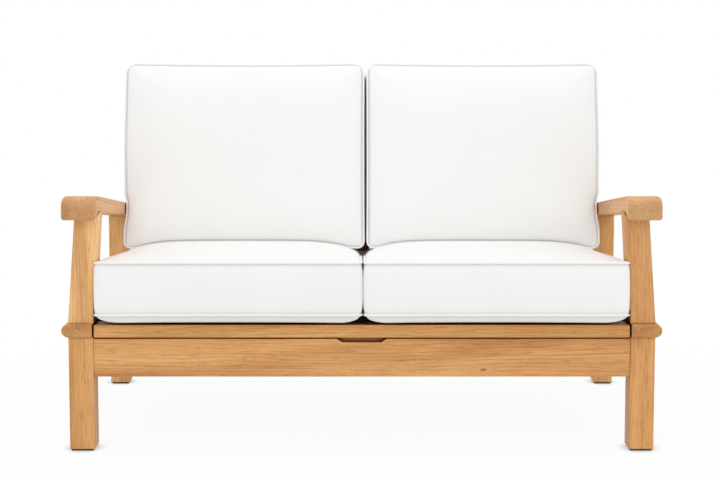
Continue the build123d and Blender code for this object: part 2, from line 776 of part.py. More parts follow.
# Back stiles: the outer pair turn on the hinge bolts
for side, word in sides:
    with BuildPart(back_plane) as stile:
        with Locations((side * stile_x, 0, 0)):
            Box(stile_width, stile_top, stile_thickness, align=(Align.CENTER, Align.MIN, Align.CENTER))
        with Locations(Location((side * stile_x, 0, 0), (0, 90, 0))):
            Cylinder(stile_thickness / 2, stile_width)
        fillet(stile.edges().filter_by(along_back), stile_edge_round)
        with Locations((side * stile_x, stile_top, 0)):
            Box(
                stile_width - 2 * short_tenon_inset,
                2 * back_tenon_length,
                back_slat_thickness,
            )
        with Locations((side * stile_inner_x, bottom_rail_rise + bottom_rail_height / 2, 0)):
            Box(
                2 * (back_tenon_length + joint_gap),
                bottom_rail_height - 2 * short_tenon_inset + 2 * joint_gap,
                back_slat_thickness + 2 * joint_gap,
                mode=Mode.SUBTRACT,
            )
        with Locations(Location((side * stile_x, 0, 0), (0, 90, 0))):
            Cylinder(bolt_radius + pin_gap, stile_width + 2 * cut_over, mode=Mode.SUBTRACT)
    keep(stile, f"back_stile_{word}")

with BuildPart(back_plane) as middle_stile:
    with Locations((0, bottom_rail_top, 0)):
        Box(
            stile_width,
            stile_top - bottom_rail_top,
            stile_thickness,
            align=(Align.CENTER, Align.MIN, Align.CENTER),
        )
    fillet(middle_stile.edges().filter_by(along_back), stile_edge_round)
    with Locations((0, bottom_rail_top, 0), (0, stile_top, 0)):
        Box(stile_width - 2 * short_tenon_inset, 2 * back_tenon_length, back_slat_thickness)
keep(middle_stile, "back_stile_middle")

# Back slats, evenly spaced between the stiles
middle_half = stile_width / 2
back_slat_gap = (stile_inner_x - middle_half - back_slat_count * back_slat_width) / (back_slat_count + 1)
back_slat_places = [
    side * (middle_half + back_slat_gap + back_slat_width / 2 + step * (back_slat_width + back_slat_gap))
    for side, word in sides
    for step in range(back_slat_count)
]
back_slat_tenon_width = back_slat_width - 2 * short_tenon_inset
for number, place in enumerate(sorted(back_slat_places), 1):
    with BuildPart(back_plane) as back_slat:
        with Locations((place, (bottom_rail_top + stile_top) / 2, 0)):
            Box(back_slat_width, stile_top - bottom_rail_top, back_slat_thickness)
        fillet(back_slat.edges().filter_by(along_back), stile_edge_round)
        with Locations((place, bottom_rail_top, 0), (place, stile_top, 0)):
            Box(back_slat_tenon_width, 2 * back_tenon_length, back_slat_thickness / 2)
    keep(back_slat, f"back_slat_{number:02d}")

# Top and bottom rails of the back, mortised for the stiles and slats
for name, low, high, half_width in (
    ("back_top_rail", stile_top, back_height, stile_outer_x),
    ("back_bottom_rail", bottom_rail_rise, bottom_rail_top, stile_inner_x),
):
    mortise_line = low if name == "back_top_rail" else high
    with BuildPart(back_plane) as rail:
        with Locations((0, (low + high) / 2, 0)):
            Box(2 * half_width, high - low, stile_thickness)
        if name == "back_top_rail":
            fillet(rail.edges().filter_by(Axis.X).group_by(along_back)[-1], back_rail_round)
            stile_mortises = [0, -stile_x, stile_x]
        else:
            fillet(rail.edges().filter_by(Axis.X).group_by(along_back)[0], stile_edge_round)
            stile_mortises = [0]
            with Locations((0, (low + high) / 2, 0)):
                Box(
                    2 * (half_width + back_tenon_length),
                    high - low - 2 * short_tenon_inset,
                    back_slat_thickness,
                )
        with Locations(*[(x, mortise_line, 0) for x in stile_mortises]):
            Box(
                stile_width - 2 * short_tenon_inset + 2 * joint_gap,
                2 * (back_tenon_length + joint_gap),
                back_slat_thickness + 2 * joint_gap,
                mode=Mode.SUBTRACT,
            )
        with Locations(*[(x, mortise_line, 0) for x in back_slat_places]):
            Box(
                back_slat_tenon_width + 2 * joint_gap,
                2 * (back_tenon_length + joint_gap),
                back_slat_thickness / 2 + 2 * joint_gap,
                mode=Mode.SUBTRACT,
            )
    keep(rail, name)


def cushion_face(plane, corners, inset, draws):
    """One level of a cushion: four corners moved in by inset, with sides drawn in between them."""
    (left_draw, right_draw, draw) = draws
    (left_low, right_low, left_high, right_high, low, high) = corners
    left_low, left_high = left_low + inset, left_high + inset
    right_low, right_high = right_low - inset, right_high - inset
    low, high = low + inset, high - inset
    middle_x, middle = (left_low + right_low) / 2, (low + high) / 2
    with BuildSketch(plane) as face:
        with BuildLine():
            ThreePointArc((left_low, low), (middle_x, low + draw), (right_low, low))
            ThreePointArc(
                (right_low, low), ((right_low + right_high) / 2 - right_draw, middle), (right_high, high)
            )
            ThreePointArc((right_high, high), (middle_x, high - draw), (left_high, high))
            ThreePointArc(
                (left_high, high), ((left_low + left_high) / 2 + left_draw, middle), (left_low, low)
            )
        make_face()
        fillet(face.vertices(), cushion_corner_radius)
    return face.sketch


def cushion_layers(plane, base, corners, crowns, boxing, reaches, draws, low_slant):
    """A box cushion as three stacked lofts: the lower crown, the boxing between the two seams and the
    upper crown. The slant raises its lower side towards the base."""
    low_crown, high_crown = crowns
    low_reach, high_reach = reaches
    full = low_crown + boxing + high_crown

    def level(up, inset):
        raised = low_slant * (1 - (up - low_crown) / boxing) if low_slant else 0
        left_low, right_low, left_high, right_high, low, high = corners
        moved = (left_low, right_low, left_high, right_high, low + raised, high)
        return cushion_face(plane.offset(base + up), moved, inset, draws)

    low_shares = reversed(list(zip(low_height_shares, low_inset_shares)))
    top_shares = zip(top_height_shares, top_inset_shares)
    lower = [level(low_crown * (1 - rise), low_reach * inset) for rise, inset in low_shares]
    middle = [
        level(low_crown, 0),
        level(low_crown + boxing / 2, -boxing_swell),
        level(low_crown + boxing, 0),
    ]
    upper = [level(full - high_crown * (1 - rise), high_reach * inset) for rise, inset in top_shares]
    return lower, middle, upper


def side_draws(word, draw):
    """How far a left or right cushion's left side, right side and ends are drawn in."""
    if word == "left":
        return draw, parting_draw, draw
    return parting_draw, draw, draw


# Seat cushions
seat_rear = hinge_back - stile_thickness / 2 + wood_gap - seat_cushion_rear_gap + deck_proud
seat_cushions = []
for word, left_x, right_x in (
    ("left", -seat_cushion_half_width, seat_parting_x - seat_parting_gap / 2),
    ("right", seat_parting_x + seat_parting_gap / 2, seat_cushion_half_width),
):
    layers = cushion_layers(
        deck_plane,
        deck_height + wood_gap,
        (left_x, right_x, left_x, right_x, -seat_cushion_proud, seat_rear),
        (seat_low_crown, seat_top_crown),
        seat_boxing,
        (seat_low_reach, seat_top_reach),
        side_draws(word, cushion_side_draw),
        0,
    )
    with BuildPart() as seat_cushion:
        for layer in layers:
            loft(layer)
    keep(seat_cushion, f"seat_cushion_{word}")
    seat_cushions.append(seat_cushion.part)

# Back cushions, hollowed underneath where they lie on the seat cushions
for word, low_left, low_right, high_left, high_right in (
    (
        "left",
        -back_cushion_low_half_width,
        back_parting_x - back_parting_gap / 2,
        -back_cushion_top_half_width,
        back_parting_x - back_parting_gap / 2,
    ),
    (
        "right",
        back_parting_x + back_parting_gap / 2,
        back_cushion_low_half_width,
        back_parting_x + back_parting_gap / 2,
        back_cushion_top_half_width,
    ),
):
    layers = cushion_layers(
        back_plane,
        stile_thickness / 2 + wood_gap,
        (
            low_left,
            low_right,
            high_left,
            high_right,
            back_cushion_rise,
            back_cushion_rise + back_cushion_height,
        ),
        (back_rear_crown, back_front_crown),
        back_boxing,
        (back_rear_reach, back_front_reach),
        side_draws(word, back_side_draw),
        back_cushion_low_slant,
    )
    with BuildPart() as back_cushion:
        for layer in layers:
            loft(layer)
        for seat in seat_cushions:
            add(seat.moved(Location((0, 0, cushion_gap))), mode=Mode.SUBTRACT)
    keep(back_cushion, f"back_cushion_{word}")
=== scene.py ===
"""A two-seat patio sofa: oiled hardwood frame, pull-out slatted seat and piped white cushions."""

import json
import logging
import math
from dataclasses import dataclass, field
from enum import Enum

import bmesh
import bpy
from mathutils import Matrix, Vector
from mathutils.bvhtree import BVHTree


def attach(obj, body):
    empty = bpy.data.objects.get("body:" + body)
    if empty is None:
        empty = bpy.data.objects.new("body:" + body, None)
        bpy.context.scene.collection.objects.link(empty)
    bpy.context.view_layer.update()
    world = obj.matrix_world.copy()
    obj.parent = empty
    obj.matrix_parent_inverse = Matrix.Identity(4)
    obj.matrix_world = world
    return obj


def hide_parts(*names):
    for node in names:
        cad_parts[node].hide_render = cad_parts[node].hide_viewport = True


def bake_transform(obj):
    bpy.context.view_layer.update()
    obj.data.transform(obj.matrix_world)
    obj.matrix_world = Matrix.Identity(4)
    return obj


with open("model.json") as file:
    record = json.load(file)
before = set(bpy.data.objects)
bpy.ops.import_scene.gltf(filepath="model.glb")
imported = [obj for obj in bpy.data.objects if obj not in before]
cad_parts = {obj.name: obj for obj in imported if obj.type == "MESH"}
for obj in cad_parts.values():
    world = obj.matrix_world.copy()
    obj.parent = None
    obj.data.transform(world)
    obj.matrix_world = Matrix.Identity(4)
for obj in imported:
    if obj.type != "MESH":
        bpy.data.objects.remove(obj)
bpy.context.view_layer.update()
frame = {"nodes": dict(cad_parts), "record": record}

log = logging.getLogger("loveseat")

Colour = tuple[float, float, float, float]
Output = tuple[bpy.types.Node, str | int]
Paint = Output | Colour
Stops = tuple[tuple[float, Colour], ...]

# The seat deck's slope, the back's lean from upright and the slope of the arms
DECK_SLOPE = math.radians(3.5)
BACK_LEAN = math.radians(12.0)
ARM_LEAN = math.radians(8.25)
# A point of the line that the back turns about, and the lower front edge of the deck's front rail
HINGE = Vector(frame["record"]["behaviour"]["joints"][1]["pos_m"])
DECK_ORIGIN = Vector((0.0, -0.361, 0.2785))

WHITE: Colour = (1.0, 1.0, 1.0, 1.0)
# Metres from one band of a wave texture to the next at a scale of 1
WAVE_BAND = 0.314
# A colour mix's inputs for its factor and its two colours, and its output for colours
MIX_INPUTS = (0, 6, 7)
MIX_RESULT = 2
# How near to 1 a share of a cushion's grid is where a point lies on one of the grid's six sides
ON_SIDE = 0.999
# Decimals to which two shares of a grid are the same
SHARE_DIGITS = 4
MM_PER_METRE = 1000


class Body(Enum):
    """The bodies of the frame; the seat cushions ride on the deck."""

    DECK = "deck"
    BACK = "back"


class Grain(Enum):
    """Which way a board's grain runs."""

    ACROSS = "X"
    DEEP = "Y"
    UPRIGHT = "Z"


class Side(Enum):
    """Which side of the seat a cushion is on, as the sign of its outer side's place across."""

    LEFT = -1.0
    RIGHT = 1.0


def srgb(red: float, green: float, blue: float) -> Colour:
    """Turns a colour of 0 to 255 values into the linear values that sockets take.

    Args:
        red, green, blue: The colour as a screen shows it.

    Returns:
        The linear colour with an alpha of 1.
    """
    parts = [value / 255 for value in (red, green, blue)]
    linear = [p / 12.92 if p <= 0.04045 else ((p + 0.055) / 1.055) ** 2.4 for p in parts]
    return (*linear, 1.0)


def toned(colour: Colour, tone: tuple[float, float, float], lift: float = 0.0) -> Colour:
    """Turns a colour lighter, darker or warmer.

    Args:
        colour: The linear colour.
        tone: The factors for red, green and blue.
        lift: What is added to each of the three.

    Returns:
        The colour, with no part over 1.
    """
    return (*(min(1.0, part * step + lift) for part, step in zip(colour, tone)), 1.0)


def eased(share: float) -> float:
    """Returns a smooth rise from 0 to 1 over a share, which is first held between 0 and 1."""
    share = min(1.0, max(0.0, share))
    return share * share * (3 - 2 * share)


@dataclass(frozen=True)
class Noise:
    """The settings of a noise texture."""

    scale: float
    detail: float
    roughness: float
    distortion: float = 0.0


class NodeTree:
    """A small builder of node trees, which passes values on as (node, output) pairs."""

    def __init__(self, tree: bpy.types.NodeTree) -> None:
        """Empties a tree to build in it."""
        self.tree = tree
        self.tree.nodes.clear()

    def add(self, kind: str, **values: object) -> bpy.types.Node:
        """Adds a node and sets its properties and feeds its sockets.

        Args:
            kind: The node's Blender class.
            values: Properties by their own names, sockets by their names with underscores.

        Returns:
            The new node.
        """
        node = self.tree.nodes.new(kind)
        for key, value in values.items():
            if hasattr(node, key):
                setattr(node, key, value)
            else:
                self.feed(node.inputs[key.replace("_", " ")], value)
        return node

    def feed(self, socket: bpy.types.NodeSocket, value: object) -> None:
        """Links a (node, output) pair to a socket, or sets the socket to a plain value.

        Args:
            socket: The input.
            value: The pair, number, vector or colour.
        """
        if isinstance(value, tuple) and isinstance(value[0], bpy.types.Node):
            node, output = value
            self.tree.links.new(node.outputs[output], socket)
        else:
            socket.default_value = value

    def feed_all(self, node: bpy.types.Node, values: tuple) -> bpy.types.Node:
        """Feeds a node's first inputs with values in their order.

        Args:
            node: The node.
            values: Plain values or (node, output) pairs.

        Returns:
            The same node.
        """
        for slot, value in enumerate(values):
            self.feed(node.inputs[slot], value)
        return node

    def mix(self, kind: str, factor: float | Output, first: Paint, second: Paint) -> Output:
        """Adds a colour mix.

        Args:
            kind: The blend type.
            factor: The mix's factor.
            first, second: The two colours.

        Returns:
            The mixed colour.
        """
        node = self.add("ShaderNodeMix", data_type="RGBA", blend_type=kind)
        for slot, value in zip(MIX_INPUTS, (factor, first, second)):
            self.feed(node.inputs[slot], value)
        return node, MIX_RESULT

    def math(self, operation: str, first: float | Output, second: float | Output = 0.0) -> Output:
        """Adds a calculation on one or two values.

        Args:
            operation: The Math node's operation.
            first, second: The values.

        Returns:
            The result.
        """
        return self.feed_all(self.add("ShaderNodeMath", operation=operation), (first, second)), "Value"

    def vector(self, operation: str, *values: Output | tuple) -> bpy.types.Node:
        """Adds a calculation on vectors.

        Args:
            operation: The Vector Math node's operation.
            values: One or two vectors.

        Returns:
            The node, because what it gives is on Vector or on Value.
        """
        return self.feed_all(self.add("ShaderNodeVectorMath", operation=operation), values)

    def ramp(self, source: Output, stops: Stops) -> Output:
        """Adds a colour ramp on a value.

        Args:
            source: The value.
            stops: Place and colour of each stop.

        Returns:
            The ramp's colour.
        """
        node = self.add("ShaderNodeValToRGB", Fac=source)
        while len(node.color_ramp.elements) < len(stops):
            node.color_ramp.elements.new(0.5)
        for element, (place, colour) in zip(node.color_ramp.elements, stops):
            element.position = place
            element.color = colour
        return node, "Color"

    def eased(self, source: Output, start: float, end: float, low: float, high: float) -> Output:
        """Maps a value smoothly from one range to another.

        Args:
            source: The value.
            start, end: The range that it is read over.
            low, high: What it becomes at the start and at the end.

        Returns:
            The mapped value.
        """
        node = self.add(
            "ShaderNodeMapRange", interpolation_type="SMOOTHSTEP",
            Value=source, From_Min=start, From_Max=end, To_Min=low, To_Max=high,
        )
        return node, "Result"

    def noise(self, source: Output, noise: Noise) -> Output:
        """Adds a noise texture.

        Args:
            source: The coordinates.
            noise: The texture's settings.

        Returns:
            The noise's value.
        """
        texture = self.add(
            "ShaderNodeTexNoise", Vector=source, Scale=noise.scale, Detail=noise.detail,
            Roughness=noise.roughness, Distortion=noise.distortion,
        )
        return texture, "Fac"

    def seen_directly(self) -> Output:
        """Tells the rays that show a surface from those that carry light.

        Returns:
            1 for the camera's, mirrored and transmitted rays, and 0 for the others.
        """
        path = self.add("ShaderNodeLightPath")
        seen = self.math("MAXIMUM", (path, "Is Camera Ray"), (path, "Is Glossy Ray"))
        return self.math("MAXIMUM", seen, (path, "Is Transmission Ray"))

    def blended(self, factor: Output, first: Output, second: Output) -> Output:
        """Blends two shaders.

        Args:
            factor: The second shader's share.
            first, second: The shaders.

        Returns:
            The blended shader.
        """
        return self.feed_all(self.add("ShaderNodeMixShader"), (factor, first, second)), "Shader"


class MaterialNodes(NodeTree):
    """The node tree of a new material, with a Principled shader and the coordinates of the object."""

    def __init__(self, name: str) -> None:
        """Starts the material.

        Args:
            name: The material's name.
        """
        self.material = bpy.data.materials.new(name)
        self.material.use_nodes = True
        super().__init__(self.material.node_tree)
        self.shader = self.add("ShaderNodeBsdfPrincipled")
        self.output = self.add("ShaderNodeOutputMaterial", Surface=(self.shader, "BSDF"))
        self.place = self.add("ShaderNodeTexCoord")

    def shade(self, **values: object) -> None:
        """Feeds the shader's sockets, named with underscores."""
        for key, value in values.items():
            self.feed(self.shader.inputs[key.replace("_", " ")], value)

    def bump(self, height: Output, strength: float, depth: float) -> None:
        """Raises the surface.

        Args:
            height: The relief.
            strength: How strongly it shows.
            depth: Its depth in metres.
        """
        relief = self.add("ShaderNodeBump", Height=height, Strength=strength, Distance=depth)
        self.shade(Normal=(relief, "Normal"))


@dataclass(frozen=True)
class Knot:
    """A small knot in a board: its middle across and above the floor, and its half width and height."""

    across: float
    up: float
    half_width: float
    half_height: float
    # How far round the knot the grain bends, in the knot's own sizes, and how strongly
    bend_width: float = 2.6
    bend_height: float = 2.4
    bend: float = 0.72
    # The rim's ragged edge and the colours from the heart outwards
    ragged: Noise = Noise(scale=120.0, detail=3.0, roughness=0.6)
    raggedness: float = 0.5
    stops: Stops = (
        (0.25, (0.42, 0.30, 0.22, 1.0)),
        (0.5, (0.66, 0.52, 0.40, 1.0)),
        (0.72, (0.80, 0.70, 0.60, 1.0)),
        (1.0, WHITE),
    )
    strength: float = 0.9

    def distance(
        self, nodes: NodeTree, source: Output, width: float, height: float
    ) -> tuple[Output, Output]:
        """Measures how far a point is from the knot's middle.

        Args:
            nodes: The material's nodes.
            source: The coordinates.
            width, height: The half sizes that count as a distance of 1.

        Returns:
            The distance, and the offset from the middle in metres.
        """
        offset = (nodes.vector("SUBTRACT", source, (self.across, 0.0, self.up)), "Vector")
        scaled = (nodes.vector("MULTIPLY", offset, (1 / width, 0.0, 1 / height)), "Vector")
        return (nodes.vector("LENGTH", scaled), "Value"), offset

    def bent(self, nodes: NodeTree, source: Output) -> Output:
        """Bends the grain's coordinates so that its lines flow round the knot.

        Args:
            nodes: The material's nodes.
            source: The coordinates.

        Returns:
            The bent coordinates.
        """
        width, height = self.half_width * self.bend_width, self.half_height * self.bend_height
        distance, offset = self.distance(nodes, source, width, height)
        pull = nodes.vector("SCALE", offset)
        nodes.feed(pull.inputs["Scale"], nodes.eased(distance, 0.0, 1.0, -self.bend, 0.0))
        return nodes.vector("ADD", source, (pull, "Vector")), "Vector"

    def coloured(self, nodes: NodeTree, source: Output, body: Output) -> Output:
        """Adds the knot's dark heart and rim to the colour.

        Args:
            nodes: The material's nodes.
            source: The coordinates.
            body: The wood's colour.

        Returns:
            The colour with the knot.
        """
        distance, _ = self.distance(nodes, source, self.half_width, self.half_height)
        ragged = nodes.math("MULTIPLY", nodes.noise(source, self.ragged), self.raggedness)
        tint = nodes.ramp(nodes.math("ADD", distance, ragged), self.stops)
        return nodes.mix("MULTIPLY", self.strength, body, tint)


@dataclass(frozen=True)
class PaintedGapShade:
    """Painted shade where surfaces are near: the reach in metres and the ramp's two ends."""

    reach: float
    dark_at: float
    shade: Colour
    clear_at: float


@dataclass(frozen=True)
class OiledWood:
    """Honey-coloured oiled hardwood: growth rings about a far axis, streaks and fine pores."""

    name: str
    grain: Grain
    light: Colour = srgb(233, 181, 121)
    middle: Colour = srgb(221, 166, 106)
    dark: Colour = srgb(200, 143, 86)
    tone: tuple[float, float, float] = (1.0, 1.0, 1.0)
    shift: tuple[float, float, float] = (0.0, 0.0, 0.0)
    lean: float = 0.0
    knot: Knot | None = None
    # The broad figure, the streaks and the pores, each with its scales across and along the grain
    figure: Noise = Noise(scale=2.0, detail=3.0, roughness=0.5, distortion=0.5)
    figure_stretch: tuple[float, float] = (7.0, 0.9)
    figure_places: tuple[float, float, float] = (0.33, 0.5, 0.68)
    streaks: Noise = Noise(scale=1.0, detail=4.0, roughness=0.65, distortion=0.2)
    streak_stretch: tuple[float, float] = (150.0, 3.2)
    streak_stops: Stops = ((0.32, (0.82, 0.71, 0.60, 1.0)), (0.48, WHITE), (0.7, (1.05, 1.05, 1.03, 1.0)))
    streak_strength: float = 0.7
    pores: Noise = Noise(scale=1.0, detail=3.0, roughness=0.7)
    pore_stretch: tuple[float, float] = (420.0, 24.0)
    pore_stops: Stops = ((0.36, (0.58, 0.44, 0.33, 1.0)), (0.46, WHITE))
    pore_strength: float = 0.55
    pore_strength_on_ends: float = 1.0
    # The growth rings: their spacing, how far off their axis lies, which differs by board, and their waver
    ring_spacing: float = 0.0062
    heart: float = 0.11
    heart_spread: float = 0.3
    heart_step: float = 2.3
    heart_start: float = 1.1
    ring_tilt: float = math.radians(2.0)
    ring_stretch: float = 0.10
    ring_waver: Noise = Noise(scale=0.2, detail=4.0, roughness=0.6, distortion=24.0)
    ring_stops: Stops = ((0.42, WHITE), (0.8, (0.94, 0.89, 0.83, 1.0)), (0.97, (0.82, 0.70, 0.57, 1.0)))
    ring_strength: float = 0.62
    ring_strength_on_ends: float = 0.2
    # The faces cut across the grain: how far a face has to turn to be one, and their shade
    end_turn: tuple[float, float] = (0.55, 0.95)
    end_shade: Colour = (0.80, 0.78, 0.79, 1.0)
    # The painted shade in the deep gaps between pieces, and in the corners where they meet
    gaps: PaintedGapShade = PaintedGapShade(reach=0.12, dark_at=0.05, shade=(0.12, 0.06, 0.03, 1.0), clear_at=0.28)
    corners: PaintedGapShade = PaintedGapShade(reach=0.006, dark_at=0.58, shade=(0.60, 0.46, 0.34, 1.0), clear_at=0.92)
    closeness_samples: int = 6
    # The roughness in the streaks and between them, the specular level, and the relief's strength and depth
    roughness: float = 0.44
    roughness_spread: tuple[float, float] = (0.1, -0.05)
    roughness_places: tuple[float, float] = (0.25, 0.75)
    specular: float = 0.2
    relief: tuple[float, float] = (0.14, 0.0005)

    def make(self) -> bpy.types.Material:
        """Builds the material on Object coordinates.

        Returns:
            The material.
        """
        nodes = MaterialNodes(self.name)
        source = (nodes.place, "Object")
        if self.lean:
            turned = nodes.add("ShaderNodeMapping", Vector=source, Rotation=(self.lean, 0.0, 0.0))
            source = (turned, "Vector")
        if self.knot:
            source = self.knot.bent(nodes, source)
        figure = self.drawn_out(nodes, source, self.figure, self.figure_stretch)
        streaks = self.drawn_out(nodes, source, self.streaks, self.streak_stretch)
        pores = self.drawn_out(nodes, source, self.pores, self.pore_stretch)
        colours = [toned(colour, self.tone) for colour in (self.dark, self.middle, self.light)]
        base = nodes.ramp(figure, tuple(zip(self.figure_places, colours)))
        rings = nodes.ramp(self.rings(nodes, source), self.ring_stops)
        ring_share = self.faced(nodes, self.ring_strength, self.ring_strength_on_ends)
        body = nodes.mix("MULTIPLY", ring_share, base, rings)
        body = nodes.mix("MULTIPLY", self.streak_strength, body, nodes.ramp(streaks, self.streak_stops))
        pore_share = self.faced(nodes, self.pore_strength, self.pore_strength_on_ends)
        body = nodes.mix("MULTIPLY", pore_share, body, nodes.ramp(pores, self.pore_stops))
        body = nodes.mix("MULTIPLY", self.faced(nodes, 0.0, 1.0), body, self.end_shade)
        if self.knot:
            body = self.knot.coloured(nodes, (nodes.place, "Object"), body)
        nodes.shade(Base_Color=self.painted_gap_shade(nodes, body), Specular_IOR_Level=self.specular)
        rough = [(self.roughness + step,) * 3 + (1.0,) for step in self.roughness_spread]
        nodes.shade(Roughness=nodes.ramp(streaks, tuple(zip(self.roughness_places, rough))))
        nodes.bump(nodes.math("ADD", pores, streaks), *self.relief)
        return nodes.material

    def stretched(self, across: float, along: float) -> tuple[float, float, float]:
        """Returns a Mapping scale of one value across the grain and another along it."""
        return tuple(along if axis == self.grain.value else across for axis in "XYZ")

    def drawn_out(
        self, nodes: NodeTree, source: Output, noise: Noise, stretch: tuple[float, float]
    ) -> Output:
        """Adds a noise that is drawn out along the grain.

        Args:
            nodes: The material's nodes.
            source: The coordinates.
            noise: The texture's settings.
            stretch: The scale across the grain and along it.

        Returns:
            The noise's value.
        """
        mapping = nodes.add(
            "ShaderNodeMapping", Vector=source, Scale=self.stretched(*stretch), Location=self.shift
        )
        return nodes.noise((mapping, "Vector"), noise)

    def off_heart(self, step: float) -> float:
        """Returns how much further off a board lies from the rings' axis, from a part of its shift."""
        return self.heart_spread * math.sin(step * self.heart_step + self.heart_start)

    def rings(self, nodes: NodeTree, source: Output) -> Output:
        """Adds growth rings about an axis along the grain that lies outside the board.

        Args:
            nodes: The material's nodes.
            source: The coordinates.

        Returns:
            The rings' value.
        """
        offset = tuple(
            0.0 if axis == self.grain.value else self.heart * (1 - self.heart_spread + self.off_heart(step))
            for axis, step in zip("XYZ", self.shift)
        )
        tilt = tuple(0.0 if axis == self.grain.value else self.ring_tilt for axis in "XYZ")
        mapping = nodes.add(
            "ShaderNodeMapping", Vector=source, Scale=self.stretched(1.0, self.ring_stretch),
            Location=offset, Rotation=tilt,
        )
        wave = nodes.add(
            "ShaderNodeTexWave", wave_type="RINGS", rings_direction=self.grain.value, wave_profile="SIN",
            Vector=(mapping, "Vector"), Scale=WAVE_BAND / self.ring_spacing,
            Distortion=self.ring_waver.distortion, Detail=self.ring_waver.detail,
            Detail_Scale=self.ring_waver.scale, Detail_Roughness=self.ring_waver.roughness,
        )
        return wave, "Fac"

    def faced(self, nodes: MaterialNodes, side: float, end: float) -> Output:
        """Returns one value on the faces along the grain and another on those cut across it.

        Args:
            nodes: The material's nodes.
            side: The value on the faces along the grain.
            end: The value on the faces cut across it.

        Returns:
            The value.
        """
        split = nodes.add("ShaderNodeSeparateXYZ", Vector=(nodes.place, "Normal"))
        facing = nodes.math("ABSOLUTE", (split, self.grain.value))
        return nodes.eased(facing, *self.end_turn, side, end)

    def painted_gap_shade(self, nodes: NodeTree, body: Output) -> Output:
        """Paints shade on the wood in the gaps between pieces and in the corners where they meet.

        Args:
            nodes: The material's nodes.
            body: The wood's colour.

        Returns:
            The colour with the painted shade.
        """
        # Painted shade: the wood grows darker where other surfaces are near
        for gap in (self.gaps, self.corners):
            closeness = nodes.add(
                "ShaderNodeAmbientOcclusion", samples=self.closeness_samples, Distance=gap.reach
            )
            tint = nodes.ramp((closeness, "AO"), ((gap.dark_at, gap.shade), (gap.clear_at, WHITE)))
            body = nodes.mix("MULTIPLY", 1.0, body, tint)
        return body


@dataclass(frozen=True)
class CanvasFabric:
    """White woven outdoor canvas: a fine weave, slubs, a little wear, and painted shade in its seams."""

    name: str
    colour: Colour = srgb(245, 245, 244)
    thread: float = 0.0011
    thread_waver: float = 0.4
    slubs: Noise = Noise(scale=420.0, detail=2.0, roughness=0.6)
    slub_stops: Stops = ((0.3, (0.94, 0.94, 0.935, 1.0)), (0.6, WHITE))
    slub_strength: float = 0.5
    wear: Noise = Noise(scale=6.0, detail=3.0, roughness=0.5)
    wear_places: tuple[float, float] = (0.3, 0.65)
    wear_tone: float = 0.985
    painted_seam_colour: Colour = (0.42, 0.41, 0.40, 1.0)
    roughness: float = 0.88
    specular: float = 0.2
    sheen: float = 0.15
    sheen_roughness: float = 0.6
    relief: tuple[float, float] = (0.1, 0.0004)

    def make(self) -> bpy.types.Material:
        """Builds the material on Object coordinates, with the seams' painted shade on the seam attribute.

        Returns:
            The material.
        """
        nodes = MaterialNodes(self.name)
        source = (nodes.place, "Object")
        across, deep, upright = (
            (
                nodes.add(
                    "ShaderNodeTexWave", bands_direction=axis, Vector=source, Scale=WAVE_BAND / self.thread,
                    Distortion=self.thread_waver, Detail=1.0,
                ),
                "Fac",
            )
            for axis in "XYZ"
        )
        weave = nodes.math("ADD", nodes.math("MAXIMUM", across, upright), deep)
        slubs = nodes.noise(source, self.slubs)
        worn = toned(self.colour, (self.wear_tone,) * 3)
        colour = nodes.ramp(
            nodes.noise(source, self.wear), tuple(zip(self.wear_places, (worn, self.colour)))
        )
        colour = nodes.mix("MULTIPLY", self.slub_strength, colour, nodes.ramp(slubs, self.slub_stops))
        # Painted shade along the seams' grooves, from the seam attribute
        seam = nodes.add("ShaderNodeAttribute", attribute_name="seam")
        shade = nodes.ramp((seam, "Fac"), ((0.0, WHITE), (1.0, self.painted_seam_colour)))
        nodes.shade(
            Base_Color=nodes.mix("MULTIPLY", 1.0, colour, shade),
            Roughness=self.roughness,
            Specular_IOR_Level=self.specular,
            Sheen_Weight=self.sheen,
            Sheen_Roughness=self.sheen_roughness,
        )
        nodes.bump(nodes.math("ADD", weave, slubs), *self.relief)
        return nodes.material


@dataclass(frozen=True)
class PlainFinish:
    """A moulded plastic or brushed steel with fine marks in its colour and gloss."""

    name: str
    colour: Colour
    metallic: float
    roughness: float
    marks: Noise
    mark_tone: float = 1.25
    mark_lift: float = 0.01
    mark_places: tuple[float, float] = (0.35, 0.75)
    gloss_spread: float = 0.1
    gloss_places: tuple[float, float] = (0.3, 0.7)
    relief: tuple[float, float] = (0.08, 0.0003)

    def make(self) -> bpy.types.Material:
        """Builds the material on Object coordinates.

        Returns:
            The material.
        """
        nodes = MaterialNodes(self.name)
        marks = nodes.noise((nodes.place, "Object"), self.marks)
        worn = toned(self.colour, (self.mark_tone,) * 3, self.mark_lift)
        gloss = [(self.roughness + step,) * 3 + (1.0,) for step in (-self.gloss_spread, self.gloss_spread)]
        nodes.shade(
            Base_Color=nodes.ramp(marks, tuple(zip(self.mark_places, (self.colour, worn)))),
            Roughness=nodes.ramp(marks, tuple(zip(self.gloss_places, gloss))),
            Metallic=self.metallic,
        )
        nodes.bump(marks, *self.relief)
        return nodes.material


